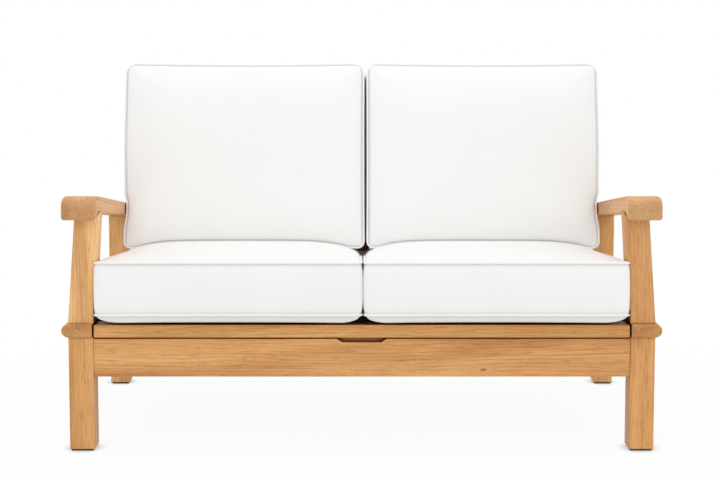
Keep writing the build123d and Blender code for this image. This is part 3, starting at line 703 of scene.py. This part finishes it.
@dataclass
class Woodwork:
    """The wooden frame, deck and back as the CAD nodes give them, each dressed along its grain."""

    upright: tuple[str, ...] = ("front_leg", "rear_leg", "arm_post", "back_stile", "back_slat", "dowels")
    deep: tuple[str, ...] = (
        "arm_left", "arm_right", "side_board", "side_rail", "runner", "fixed_bearer", "mid_bearer",
        "side_bearer", "rear_stops",
    )
    arms: tuple[str, ...] = ("arm_left", "arm_right")
    steel: tuple[str, ...] = ("slat_screws", "hinge_bolts", "hinge_washers", "hinge_nuts")
    plastic: tuple[str, ...] = ("foot_glides",)
    # Boards toned one by one, partly painted light and shade: the lifts on the left post and the rear legs
    # and the darker right post stand in for how light falls on them
    tones_with_painted_light: dict[str, tuple[float, float, float]] = field(
        default_factory=lambda: {
            "arm_left": (0.95, 0.97, 1.0),
            "arm_right": (0.95, 0.97, 1.0),
            "arm_post_left": (1.22, 1.41, 1.66),
            "arm_post_right": (0.9, 0.88, 0.9),
            "rear_leg_left": (1.24, 1.46, 1.66),
            "rear_leg_right": (1.2, 1.36, 1.5),
            "front_apron": (0.97, 0.96, 0.96),
            "deck_front_rail": (0.95, 0.94, 0.9),
            "front_leg_left": (1.0, 1.02, 1.02),
            "front_leg_right": (1.0, 1.0, 1.0),
        }
    )
    knots: dict[str, Knot] = field(
        default_factory=lambda: {
            "front_apron": Knot(across=0.292, up=0.1985, half_width=0.015, half_height=0.0065),
        }
    )
    # Each board has its place in the trunk from its number, and so its tone if none is named above
    tone_spread: float = 0.03
    tone_step: float = 2.4
    trunk_step: tuple[float, float, float] = (1.37, 2.11, 0.73)
    upright_ring_strength: float = 0.5
    ring_strength: float = 0.62
    arm_specular: float = 0.55
    specular: float = 0.2

    def grain_of(self, node: str) -> Grain:
        """Returns the way a board's grain runs.

        Args:
            node: The CAD node's name.

        Returns:
            The grain's direction.
        """
        if node.startswith(self.upright):
            return Grain.UPRIGHT
        if node.startswith(self.deep):
            return Grain.DEEP
        return Grain.ACROSS

    def wood_of(self, node: str, number: int) -> OiledWood:
        """Returns a board's own wood.

        Args:
            node: The CAD node's name.
            number: The node's number, which sets its place in the trunk.

        Returns:
            The finish.
        """
        grain = self.grain_of(node)
        plain = 1.0 + self.tone_spread * math.sin(number * self.tone_step)
        return OiledWood(
            f"wood_{node}",
            grain,
            tone=self.tones_with_painted_light.get(node, (plain,) * 3),
            shift=tuple(number * step for step in self.trunk_step),
            lean=ARM_LEAN if node in self.arms else 0.0,
            knot=self.knots.get(node),
            ring_strength=self.upright_ring_strength if grain is Grain.UPRIGHT else self.ring_strength,
            specular=self.arm_specular if node in self.arms else self.specular,
        )

    def dress(self) -> None:
        """Gives every rigid CAD node a material of its own kind."""
        steel = PlainFinish(
            "stainless_steel", srgb(196, 196, 194), metallic=1.0, roughness=0.35,
            marks=Noise(scale=900.0, detail=4.0, roughness=0.6),
        ).make()
        plastic = PlainFinish(
            "glide_plastic", srgb(38, 36, 34), metallic=0.0, roughness=0.6,
            marks=Noise(scale=500.0, detail=4.0, roughness=0.6),
        ).make()
        for number, (node, obj) in enumerate(sorted(frame["nodes"].items())):
            if "cushion" in node:
                continue
            if node in self.steel:
                self.paint(obj, steel)
            elif node in self.plastic:
                self.paint(obj, plastic)
            else:
                self.paint(obj, self.wood_of(node, number).make())
            log.info("dressed %s", node)

    @staticmethod
    def paint(obj: bpy.types.Object, material: bpy.types.Material) -> None:
        """Puts one material on all of an object's slots.

        Args:
            obj: The object.
            material: The material.
        """
        if not obj.material_slots:
            obj.data.materials.append(material)
        for slot in obj.material_slots:
            slot.material = material


@dataclass(frozen=True)
class Place:
    """A sloping plane that a cushion lies on, with the directions along it and out of it."""

    origin: Vector
    along: Vector
    out: Vector

    def point(self, across: float, along: float, out: float) -> Vector:
        """Returns the point at a place across, along and out of the plane."""
        return self.origin + Vector((across, 0.0, 0.0)) + self.along * along + self.out * out

    def local(self, point: Vector) -> tuple[float, float, float]:
        """Returns a point's place across, along and out of the plane."""
        moved = point - self.origin
        return moved.x, moved.dot(self.along), moved.dot(self.out)


DECK_PLACE = Place(
    DECK_ORIGIN,
    along=Vector((0.0, math.cos(DECK_SLOPE), -math.sin(DECK_SLOPE))),
    out=Vector((0.0, math.sin(DECK_SLOPE), math.cos(DECK_SLOPE))),
)
BACK_PLACE = Place(
    HINGE,
    along=Vector((0.0, math.sin(BACK_LEAN), math.cos(BACK_LEAN))),
    out=Vector((0.0, -math.cos(BACK_LEAN), math.sin(BACK_LEAN))),
)


@dataclass(kw_only=True)
class BoxCushion:
    """A loose box cushion: two crowned panels, a boxing between them and piping along both seams.

    The panels and the boxing are filled with a pressure simulation that holds the two seams. The
    sizes are in metres, measured along and out of the plane that the cushion lies on.
    """

    name: str
    side: Side
    place: Place
    # The left and right sides where the cushion starts and where it ends along the plane
    low_ends: tuple[float, float]
    high_ends: tuple[float, float]
    low: float
    high: float
    # Out of the plane: where the lower panel lies, the crowns and the boxing
    base: float
    under_crown: float
    boxing: float
    over_crown: float
    # How far in from a seam a panel still rises, the lower one also from its ends
    under_reach: float
    under_end_reach: float
    over_reach: float
    # How far the sides are drawn in between their corners
    outer_draw: float
    parting_draw: float
    end_draw: float
    # How much further out the outer side stands at places along the cushion
    flare: tuple[tuple[float, float], ...]
    # How much of each side the rounded corners take, at the lower and at the upper end
    low_corner: float
    high_corner: float
    # The grid's cells across, along and out
    cells: tuple[int, int, int]
    # How much further along the lower panel starts than the upper one
    slant: float = 0.0
    # How far the upper seam is pressed down at the upper end, with more of it beside the other cushion,
    # and the shares along where that starts and that it takes to be full
    rear_sink: float = 0.0
    parting_sink: float = 0.0
    press_start: float = -0.7
    press_span: float = 1.3
    # How far the boxing swells out, also where the two cushions meet
    swell: float = 0.0016
    parting_swell: float = 0.0024
    # The seams: how dark their painted shade is, how far in the panels' edges and the piping lie, and the
    # piping
    painted_seam_darkness: float = 0.3
    seam_inset: float = 0.0030
    piping_inset: float = 0.0012
    piping_radius: float = 0.0029
    # The grid is closer near its ends, and an inset follows the nearer side by this power
    tightness: float = 1.1
    inset_power: int = 20
    # The filling: its frames, the crowns before it, the furthest move and how well the shape is fitted
    filling_frames: int = 20
    first_crowns: float = 0.55
    furthest_move: float = 0.028
    furthest_side_move: float = 0.0022
    fitted: float = 0.6
    under_stretch: float = 1.25
    least_crown: float = 0.01
    # How the lower end is lifted off what it stands on: the clearance, the height that the pieces are
    # looked at from, and the shares along up to where points clear them and where the lift has faded
    clearance: float = 0.0012
    look_down_from: float = 2.0
    lifted_below: float = -0.5
    lift_fade: float = 0.55
    # How firmly the cushion is filled, from 0 to 1
    fill: float = 0.85

    def grid(self) -> bmesh.types.BMesh:
        """Makes the cushion's grid from a cube of two units.

        Returns:
            The cube, its six sides cut into the cushion's cells.
        """
        form = bmesh.new()
        bmesh.ops.create_cube(form, size=2.0)
        for axis, count in enumerate(self.cells):
            whole = [e for e in form.edges if abs((e.verts[0].co - e.verts[1].co)[axis]) > 2 * ON_SIDE]
            bmesh.ops.subdivide_edges(form, edges=whole, cuts=count - 1, use_grid_fill=True)
        form.verts.ensure_lookup_table()
        return form

    def spread(self, share: float) -> float:
        """Moves a share of -1 to 1 so that the grid is closer near its ends."""
        return math.sin(share * self.tightness) / math.sin(self.tightness)

    @property
    def low_seam(self) -> float:
        """How far out of the plane the lower seam lies."""
        return self.base + self.under_crown

    @property
    def high_seam(self) -> float:
        """How far out of the plane the upper seam lies."""
        return self.low_seam + self.boxing

    def outline(self, a: float, b: float, rise: float) -> tuple[float, float]:
        """Returns the place across and along the plane for a place on the grid.

        Args:
            a: The share across, from -1 to 1.
            b: The share along, from -1 to 1.
            rise: The height above the lower seam as a share of the boxing.

        Returns:
            The places across and along.
        """
        (left_low, right_low), (left_high, right_high) = self.low_ends, self.high_ends
        low = self.low + self.slant * (1.0 - rise)
        half_length = (self.high - low) / 2
        half_width = (right_low - left_low + right_high - left_high) / 4
        corner = self.high_corner if b > 0 else self.low_corner
        a, b = self.rounded(a, b, corner / half_width, corner / half_length)
        up = (b + 1) / 2
        left = left_low + (left_high - left_low) * up
        right = right_low + (right_high - right_low) * up
        along = (low + self.high) / 2 + b * (half_length - self.end_draw * (1 - a * a))
        outer = a * self.side.value > 0
        draw = (self.outer_draw if outer else self.parting_draw) * (1 - b * b)
        wider = self.widening(along) if outer else 0.0
        across = (left + right) / 2 + a * ((right - left) / 2 - draw + wider)
        return across, along

    def widening(self, along: float) -> float:
        """Returns how much further out the outer side stands at a place along the cushion.

        Args:
            along: The place along the plane.

        Returns:
            The widening.
        """
        for (start, before), (end, after) in zip(self.flare, self.flare[1:]):
            if along < end:
                return before + (after - before) * eased((along - start) / (end - start))
        return self.flare[-1][1]

    @staticmethod
    def rounded(a: float, b: float, part_a: float, part_b: float) -> tuple[float, float]:
        """Rounds the corners of the square of -1 to 1.

        Args:
            a, b: The place in the square.
            part_a, part_b: The parts of its sides that each corner takes.

        Returns:
            The place moved inside the rounded corners.
        """
        u = (abs(a) - (1 - part_a)) / part_a
        v = (abs(b) - (1 - part_b)) / part_b
        if u <= 0 or v <= 0:
            return a, b
        across = u * math.sqrt(1 - v * v / 2)
        along = v * math.sqrt(1 - u * u / 2)
        return math.copysign(1 - part_a + part_a * across, a), math.copysign(1 - part_b + part_b * along, b)

    @staticmethod
    def dome(distance: float, reach: float) -> float:
        """Returns how far a panel has risen, from 0 to 1, at a distance in from its seam.

        Args:
            distance: The distance in from the seam.
            reach: The distance over which the panel rises.

        Returns:
            The share of the crown.
        """
        share = min(1.0, max(0.0, distance / reach))
        return math.sqrt(share * (2 - share))

    def pressed(self, a: float, b: float) -> float:
        """Returns how far the upper seam is pressed down at a place on the grid.

        Args:
            a: The share across, from -1 to 1.
            b: The share along, from -1 to 1.

        Returns:
            The depth.
        """
        parting = max(0.0, -self.side.value * a)
        depth = self.rear_sink + self.parting_sink * parting * parting
        return depth * eased((b - self.press_start) / self.press_span)

    def shaped(self, a: float, b: float, c: float, crowns: float) -> Vector:
        """Returns where a point of the grid lies on the cushion.

        Args:
            a: The share across, from -1 to 1.
            b: The share along, from -1 to 1.
            c: The share out of the plane, from -1 on the lower panel to 1 on the upper one.
            crowns: How much of the crowns the shape has, from 0 to 1.

        Returns:
            The point.
        """
        a, b = self.spread(a), self.spread(b)
        rise = (c + 1) / 2
        sink = self.pressed(a, b) * rise
        across, along = self.outline(a, b, rise)
        at_side, at_end = abs(a) > ON_SIDE, abs(b) > ON_SIDE
        if abs(c) < ON_SIDE:
            beside_other = self.side.value * a < -ON_SIDE
            swell = (self.parting_swell if beside_other else self.swell) * (1 - c * c)
            across += math.copysign(swell, a) if at_side else 0.0
            along += math.copysign(swell, b) if at_end else 0.0
            return self.place.point(across, along, self.low_seam + self.boxing * rise - sink)
        from_side = (1 - abs(a)) * (self.low_ends[1] - self.low_ends[0]) / 2
        from_end = (1 - abs(b)) * (self.high - self.low) / 2
        if c > 0:
            dome = self.dome(from_side, self.over_reach) * self.dome(from_end, self.over_reach)
            out = self.high_seam - sink + (self.over_crown * crowns + sink) * dome
        else:
            dome = self.dome(from_side, self.under_reach) * self.dome(from_end, self.under_end_reach)
            out = self.low_seam - self.under_crown * crowns * dome
        if at_side or at_end:
            across, along = self.drawn_in(across, along, a, b)
        return self.place.point(across, along, out)

    def drawn_in(self, across: float, along: float, a: float, b: float) -> tuple[float, float]:
        """Moves a point of a seam inwards by the seam's inset.

        Args:
            across, along: The point's place on the plane.
            a, b: Its shares across and along the grid.

        Returns:
            The places across and along.
        """
        power = self.inset_power
        outward = Vector((a * abs(a) ** power, b * abs(b) ** power)).normalized()
        return across - outward.x * self.seam_inset, along - outward.y * self.seam_inset

    def pattern(self) -> tuple[bpy.types.Mesh, list[tuple], list[list[int]]]:
        """Makes the cover before it is filled.

        Returns:
            The mesh, each point's shares of the grid, and the points of the two seams in order.
        """
        form = self.grid()
        shares = [tuple(v.co) for v in form.verts]
        for vert, (a, b, c) in zip(form.verts, shares):
            vert.co = self.shaped(a, b, c, self.first_crowns)
        crease = form.edges.layers.float.new("crease_edge")
        loops = []
        for level in (-1.0, 1.0):
            seam = [
                edge for edge in form.edges
                if all(self.on_seam(shares[vert.index], level) for vert in edge.verts)
            ]
            for edge in seam:
                edge[crease] = 1.0
            loops.append(self.loop_of(seam))
        mesh = bpy.data.meshes.new(f"{self.name}_cover")
        form.to_mesh(mesh)
        form.free()
        return mesh, shares, loops

    @staticmethod
    def on_seam(share: tuple[float, float, float], level: float) -> bool:
        """Returns whether a point of the grid is on the seam at a level of -1 or 1."""
        a, b, c = share
        return c * level > ON_SIDE and max(abs(a), abs(b)) > ON_SIDE

    @staticmethod
    def loop_of(edges: list[bmesh.types.BMEdge]) -> list[int]:
        """Puts the points of a closed ring of edges in order.

        Args:
            edges: The ring's edges in any order.

        Returns:
            The vertex numbers, each once.
        """
        links: dict[int, list[int]] = {}
        for edge in edges:
            first, second = (v.index for v in edge.verts)
            links.setdefault(first, []).append(second)
            links.setdefault(second, []).append(first)
        ring = [min(links)]
        previous = None
        while True:
            following = [n for n in links[ring[-1]] if n != previous]
            previous = ring[-1]
            if following[0] == ring[0] and len(ring) > 2:
                return ring
            ring.append(following[0])

    def build(self, fabric: bpy.types.Material, below: list[bpy.types.Object]) -> list[bpy.types.Object]:
        """Makes the cushion and its piping.

        Args:
            fabric: The cover's material.
            below: Pieces that the cushion stands on besides its plane.

        Returns:
            The cover, then the piping of the lower and of the upper seam.
        """
        mesh, shares, loops = self.pattern()
        obj = bpy.data.objects.new(f"{self.name}_cover", mesh)
        bpy.context.scene.collection.objects.link(obj)
        held = obj.vertex_groups.new(name="seams")
        held.add(sorted({index for loop in loops for index in loop}), 1.0, "REPLACE")
        start = [v.co.copy() for v in mesh.vertices]
        filled = self.inflate(obj)
        points = self.settle(start, filled, shares)
        if below:
            self.rest_on(points, shares, below)
        for vert, point in zip(mesh.vertices, points):
            vert.co = point
        # The painted shade along the seams, as a value on the points
        near_seam = mesh.attributes.new("seam", "FLOAT", "POINT")
        for loop in loops:
            for index in loop:
                near_seam.data[index].value = self.painted_seam_darkness
        smooth = obj.modifiers.new("smooth", "SUBSURF")
        smooth.levels = smooth.render_levels = 1
        self.apply(obj)
        obj.vertex_groups.clear()
        self.paint(obj, fabric)
        piping = [
            self.piping(f"{self.name}_{word}_piping", [points[index].copy() for index in loop], fabric)
            for word, loop in zip(("under", "over"), loops)
        ]
        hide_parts(self.name)
        log.info("built %s with %d vertices", self.name, len(obj.data.vertices))
        return [obj, *piping]

    def inflate(self, obj: bpy.types.Object) -> list[Vector]:
        """Fills the cover by pressure with its seams held.

        Args:
            obj: The cover, with the seams in its vertex group.

        Returns:
            Where its points end.
        """
        scene = bpy.context.scene
        cloth = obj.modifiers.new("filling", "CLOTH")
        cloth.settings.quality = 6
        cloth.settings.mass = 0.3
        cloth.settings.tension_stiffness = 12
        cloth.settings.compression_stiffness = 12
        cloth.settings.shear_stiffness = 4
        cloth.settings.bending_stiffness = 1.5
        cloth.settings.use_pressure = True
        cloth.settings.uniform_pressure_force = 4
        cloth.settings.vertex_group_mass = "seams"
        cloth.settings.pin_stiffness = 1
        cloth.settings.effector_weights.gravity = 0
        cloth.collision_settings.use_collision = False
        cloth.point_cache.frame_start = 1
        cloth.point_cache.frame_end = self.filling_frames
        for step in range(1, self.filling_frames + 1):
            scene.frame_set(step)
        graph = bpy.context.evaluated_depsgraph_get()
        points = [v.co.copy() for v in obj.evaluated_get(graph).data.vertices]
        obj.modifiers.remove(cloth)
        scene.frame_set(1)
        return points

    def settle(self, start: list[Vector], filled: list[Vector], shares: list[tuple]) -> list[Vector]:
        """Caps how far the filling moved each point and fits the crowns to their heights.

        Args:
            start: The points before the filling.
            filled: The points after it.
            shares: Their shares of the grid.

        Returns:
            The settled points.
        """
        moved = []
        for before, after in zip(start, filled):
            step = after - before
            if step.length > 0:
                step *= self.held_to(step.length, self.furthest_move) / step.length
            moved.append(self.place.local(before + step))
        top = max(out for _, _, out in moved) - self.high_seam
        bottom = self.low_seam - min(out for _, _, out in moved)
        log.info("%s crowns: %.1f and %.1f mm", self.name, top * MM_PER_METRE, bottom * MM_PER_METRE)
        points = []
        for (across, along, out), (a, b, c) in zip(moved, shares):
            goal_across, goal_along, goal_out = self.place.local(self.shaped(a, b, c, 1.0))
            if c > ON_SIDE:
                seam = self.place.local(self.shaped(a, b, c, 0.0))[2]
                out = seam + (out - seam) * self.over_crown / max(top, self.least_crown)
                out = (1 - self.fitted) * out + self.fitted * goal_out
            elif out < self.low_seam and c < -ON_SIDE:
                depth = (self.low_seam - out) * self.under_stretch * self.under_crown
                out = max(self.low_seam - depth / max(bottom, self.least_crown), self.base)
                out = (1 - self.fitted) * out + self.fitted * goal_out
            across = goal_across + self.held_to(across - goal_across, self.furthest_side_move)
            along = goal_along + self.held_to(along - goal_along, self.furthest_side_move)
            points.append(self.place.point(across, along, out))
        return points

    @staticmethod
    def held_to(move: float, furthest: float) -> float:
        """Returns a move that is softly held to a furthest one."""
        return furthest * math.tanh(move / furthest)

    def rest_on(self, points: list[Vector], shares: list[tuple], below: list[bpy.types.Object]) -> None:
        """Lifts the lower end off the pieces that it stands on, fading upwards.

        Args:
            points: The cushion's points, which are moved.
            shares: Their shares of the grid.
            below: The pieces that it stands on.
        """
        graph = bpy.context.evaluated_depsgraph_get()
        trees = [BVHTree.FromObject(piece, graph) for piece in below]
        lifts = {
            self.column(a, c): self.needed_lift(point, trees)
            for point, (a, b, c) in zip(points, shares)
            if b < -ON_SIDE
        }
        for number, (point, (a, b, c)) in enumerate(zip(points, shares)):
            lift = lifts.get(self.column(a, c), 0.0) * eased(1.0 - (b + 1) / self.lift_fade)
            if b < self.lifted_below:
                lift = max(lift, self.needed_lift(point, trees))
            points[number] = point + Vector((0.0, 0.0, lift))

    @staticmethod
    def column(a: float, c: float) -> tuple[float, float]:
        """Returns the shares that the points in one line along the cushion have in common."""
        return round(a, SHARE_DIGITS), round(c, SHARE_DIGITS)

    def needed_lift(self, point: Vector, trees: list[BVHTree]) -> float:
        """Returns how far a point has to rise to clear the pieces below it.

        Args:
            point: The point.
            trees: The pieces' faces.

        Returns:
            The rise, or 0 where it is clear.
        """
        above = Vector((point.x, point.y, self.look_down_from))
        hits = [tree.ray_cast(above, Vector((0.0, 0.0, -1.0)))[0] for tree in trees]
        return max([0.0] + [hit.z + self.clearance - point.z for hit in hits if hit is not None])

    @staticmethod
    def apply(obj: bpy.types.Object) -> None:
        """Applies an object's modifiers to its mesh.

        Args:
            obj: The object.
        """
        graph = bpy.context.evaluated_depsgraph_get()
        mesh = bpy.data.meshes.new_from_object(obj.evaluated_get(graph))
        mesh.name = obj.name
        obj.modifiers.clear()
        obj.data = mesh

    @staticmethod
    def paint(obj: bpy.types.Object, fabric: bpy.types.Material) -> None:
        """Dresses a soft piece and smooths its shading.

        Args:
            obj: The piece.
            fabric: The cover's material.
        """
        obj.data.materials.clear()
        obj.data.materials.append(fabric)
        obj.data.polygons.foreach_set("use_smooth", [True] * len(obj.data.polygons))

    def piping(self, name: str, ring: list[Vector], fabric: bpy.types.Material) -> bpy.types.Object:
        """Makes the covered cord that is sewn into one seam.

        Args:
            name: The piece's name.
            ring: The seam's points in order.
            fabric: The cover's material.

        Returns:
            The piping's object.
        """
        centre = sum(ring, Vector()) / len(ring)
        curve = bpy.data.curves.new(name, "CURVE")
        curve.dimensions = "3D"
        curve.bevel_depth = self.piping_radius
        curve.bevel_resolution = 2
        curve.resolution_u = 2
        line = curve.splines.new("NURBS")
        line.points.add(len(ring) - 1)
        for number, point in enumerate(ring):
            tangent = (ring[(number + 1) % len(ring)] - ring[number - 1]).normalized()
            outward = tangent.cross(self.place.out).normalized()
            if outward.dot(point - centre) < 0:
                outward = -outward
            placed = point + outward * (self.seam_inset - self.piping_inset)
            line.points[number].co = (*placed, 1.0)
        line.use_cyclic_u = True
        line.order_u = 4
        shape = bpy.data.objects.new(name, curve)
        bpy.context.scene.collection.objects.link(shape)
        graph = bpy.context.evaluated_depsgraph_get()
        mesh = bpy.data.meshes.new_from_object(shape.evaluated_get(graph))
        bpy.data.objects.remove(shape)
        obj = bpy.data.objects.new(name, mesh)
        bpy.context.scene.collection.objects.link(obj)
        self.paint(obj, fabric)
        return obj


@dataclass(kw_only=True)
class SeatCushion(BoxCushion):
    """A seat cushion, which lies on the deck and is pressed down at its rear by a back cushion."""

    place: Place = DECK_PLACE
    low: float = -0.016
    high: float = 0.578
    base: float = 0.0303
    under_crown: float = 0.0250
    boxing: float = 0.1250
    over_crown: float = 0.0205
    under_reach: float = 0.052
    under_end_reach: float = 0.018
    over_reach: float = 0.160
    outer_draw: float = 0.004
    parting_draw: float = 0.001
    end_draw: float = 0.002
    flare: tuple[tuple[float, float], ...] = ((-0.004, 0.0075), (0.006, 0.0))
    low_corner: float = 0.013
    high_corner: float = 0.013
    cells: tuple[int, int, int] = (50, 46, 11)
    rear_sink: float = 0.014
    parting_sink: float = 0.009


@dataclass(kw_only=True)
class BackCushion(BoxCushion):
    """A back cushion, which leans on the back, stands on the seat cushions and is pinched by the arms."""

    place: Place = BACK_PLACE
    low: float = 0.153
    high: float = 0.657
    base: float = 0.0143
    under_crown: float = 0.027
    boxing: float = 0.155
    over_crown: float = 0.035
    under_reach: float = 0.035
    under_end_reach: float = 0.035
    over_reach: float = 0.115
    outer_draw: float = 0.002
    parting_draw: float = 0.001
    end_draw: float = 0.004
    flare: tuple[tuple[float, float], ...] = (
        (0.203, 0.009), (0.240, 0.0036), (0.284, 0.0036), (0.298, 0.0092), (0.42, 0.0112), (0.66, 0.0065),
    )
    low_corner: float = 0.017
    high_corner: float = 0.030
    cells: tuple[int, int, int] = (50, 54, 13)
    slant: float = 0.028
    parting_swell: float = 0.0036
    painted_seam_darkness: float = 0.75


@dataclass
class Upholstery:
    """The two seat cushions and the two back cushions."""

    seat_half_width: float = 0.6335
    seat_parting: float = 0.0028
    seat_gap: float = 0.0044
    back_low_half_width: float = 0.6292
    back_top_half_width: float = 0.636
    back_parting: float = 0.0105
    back_gap: float = 0.0078
    bend_start: tuple[float, float, float] = (0.0, 0.2279, 0.38)
    bend_end: tuple[float, float, float] = (0.0, 0.2279, 0.62)

    @staticmethod
    def ends(side: Side, half_width: float, parting: float, gap: float) -> tuple[float, float]:
        """Returns where a cushion starts and ends across the seat.

        Args:
            side: The cushion's side.
            half_width: How far out its outer side is.
            parting: Where the two cushions meet.
            gap: The gap between them.

        Returns:
            The places of its left and right sides.
        """
        if side is Side.LEFT:
            return -half_width, parting - gap / 2
        return parting + gap / 2, half_width

    def build(self) -> None:
        """Builds the four cushions from one cloth."""
        fabric = CanvasFabric("white_canvas").make()
        seats = []
        for side in Side:
            ends = self.ends(side, self.seat_half_width, self.seat_parting, self.seat_gap)
            cushion = SeatCushion(
                name=f"seat_cushion_{side.name.lower()}", side=side, low_ends=ends, high_ends=ends
            )
            pieces = cushion.build(fabric, [])
            for part in pieces:
                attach(part, Body.DECK.value)
            seats.append(pieces[0])
        for side in Side:
            cushion = BackCushion(
                name=f"back_cushion_{side.name.lower()}",
                side=side,
                low_ends=self.ends(side, self.back_low_half_width, self.back_parting, self.back_gap),
                high_ends=self.ends(side, self.back_top_half_width, self.back_parting, self.back_gap),
            )
            for part in cushion.build(fabric, seats):
                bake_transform(part)


@dataclass(frozen=True)
class Lamp:
    """A square area lamp: its place, the point that it faces, its side and its power in watts."""

    name: str
    place: tuple[float, float, float]
    aim: tuple[float, float, float]
    side: float
    power: float

    def build(self) -> None:
        """Adds the lamp to the scene."""
        data = bpy.data.lights.new(self.name, "AREA")
        data.size = self.side
        data.energy = self.power
        obj = bpy.data.objects.new(self.name, data)
        obj.location = self.place
        obj.rotation_euler = (Vector(self.aim) - Vector(self.place)).to_track_quat("-Z", "Y").to_euler()
        bpy.context.scene.collection.objects.link(obj)


@dataclass
class Studio:
    """The camera, the pale floor and the soft lights."""

    camera_place: tuple[float, float, float] = (-0.0043, -3.7419, 0.9824)
    pitch: float = 5.0
    lens: float = 71.57
    sensor: float = 36.0
    shift_y: float = -0.1
    lamps: tuple[Lamp, ...] = (
        Lamp("key", (-1.6, -3.2, 3.4), (0.0, 0.0, 0.45), side=2.6, power=24.0),
        Lamp("fill", (2.6, -2.6, 2.2), (0.0, 0.0, 0.45), side=2.6, power=12.0),
        Lamp("top", (0.0, -0.4, 3.6), (0.0, 0.0, 0.3), side=3.0, power=24.0),
    )
    sky: float = 0.78
    floor_size: float = 14.0
    floor_colour: Colour = (0.93, 0.93, 0.93, 1.0)
    floor_roughness: float = 0.9
    # The floor turns white to the camera between these distances, from this share
    fade_start: float = 0.6
    fade_end: float = 1.5
    fade_share: float = 0.94
    # The painted shadow where the feet touch the floor, in the white that the camera sees
    contact_reach: float = 0.045
    contact_samples: int = 8
    contact_shadow_stops: Stops = ((0.42, (0.55, 0.55, 0.55, 1.0)), (0.8, WHITE))

    def build(self) -> None:
        """Makes the camera, the floor, the sky and the lamps."""
        bpy.context.scene.view_settings.view_transform = "Standard"
        self.camera()
        self.floor()
        self.world()
        for lamp in self.lamps:
            lamp.build()

    def camera(self) -> None:
        """Places the camera and makes it the scene's."""
        scene = bpy.context.scene
        data = bpy.data.cameras.new("camera")
        data.lens = self.lens
        data.sensor_width = self.sensor
        data.shift_y = self.shift_y
        camera = bpy.data.objects.new("camera", data)
        camera.location = self.camera_place
        camera.rotation_euler = (math.radians(90.0 - self.pitch), 0.0, 0.0)
        scene.collection.objects.link(camera)
        scene.camera = camera

    def floor(self) -> None:
        """Makes the pale floor, white to the camera where no shadow falls, with a painted shadow where the
        feet touch it.
        """
        mesh = bpy.data.meshes.new("floor")
        form = bmesh.new()
        bmesh.ops.create_grid(form, x_segments=2, y_segments=2, size=self.floor_size / 2)
        form.to_mesh(mesh)
        form.free()
        obj = bpy.data.objects.new("floor", mesh)
        bpy.context.scene.collection.objects.link(obj)
        nodes = MaterialNodes("studio_floor")
        nodes.shade(
            Base_Color=self.floor_colour, Roughness=self.floor_roughness, Specular_IOR_Level=0.0
        )
        distance = (nodes.vector("LENGTH", (nodes.place, "Object")), "Value")
        fade = nodes.eased(distance, self.fade_start, self.fade_end, self.fade_share, 1.0)
        share = nodes.math("MULTIPLY", nodes.seen_directly(), fade)
        # Painted shadow: the camera's white grows darker near the feet
        contact = nodes.add(
            "ShaderNodeAmbientOcclusion", samples=self.contact_samples, Distance=self.contact_reach
        )
        edge = nodes.ramp((contact, "AO"), self.contact_shadow_stops)
        glow = nodes.add("ShaderNodeEmission", Color=edge, Strength=1.0)
        blend = nodes.blended(share, (nodes.shader, "BSDF"), (glow, "Emission"))
        nodes.feed(nodes.output.inputs["Surface"], blend)
        mesh.materials.append(nodes.material)

    def world(self) -> None:
        """Makes an even sky, white where the camera sees it."""
        world = bpy.data.worlds.new("studio")
        bpy.context.scene.world = world
        world.use_nodes = True
        nodes = NodeTree(world.node_tree)
        sky = nodes.add("ShaderNodeBackground", Color=WHITE, Strength=self.sky)
        seen = nodes.add("ShaderNodeBackground", Color=WHITE, Strength=1.0)
        light = nodes.blended(nodes.seen_directly(), (sky, "Background"), (seen, "Background"))
        nodes.add("ShaderNodeOutputWorld", Surface=light)


def main() -> None:
    """Builds and dresses the whole scene."""
    logging.basicConfig(level=logging.INFO, format="%(name)s: %(message)s")
    Studio().build()
    Woodwork().dress()
    Upholstery().build()


if __name__ == "__main__":
    main()
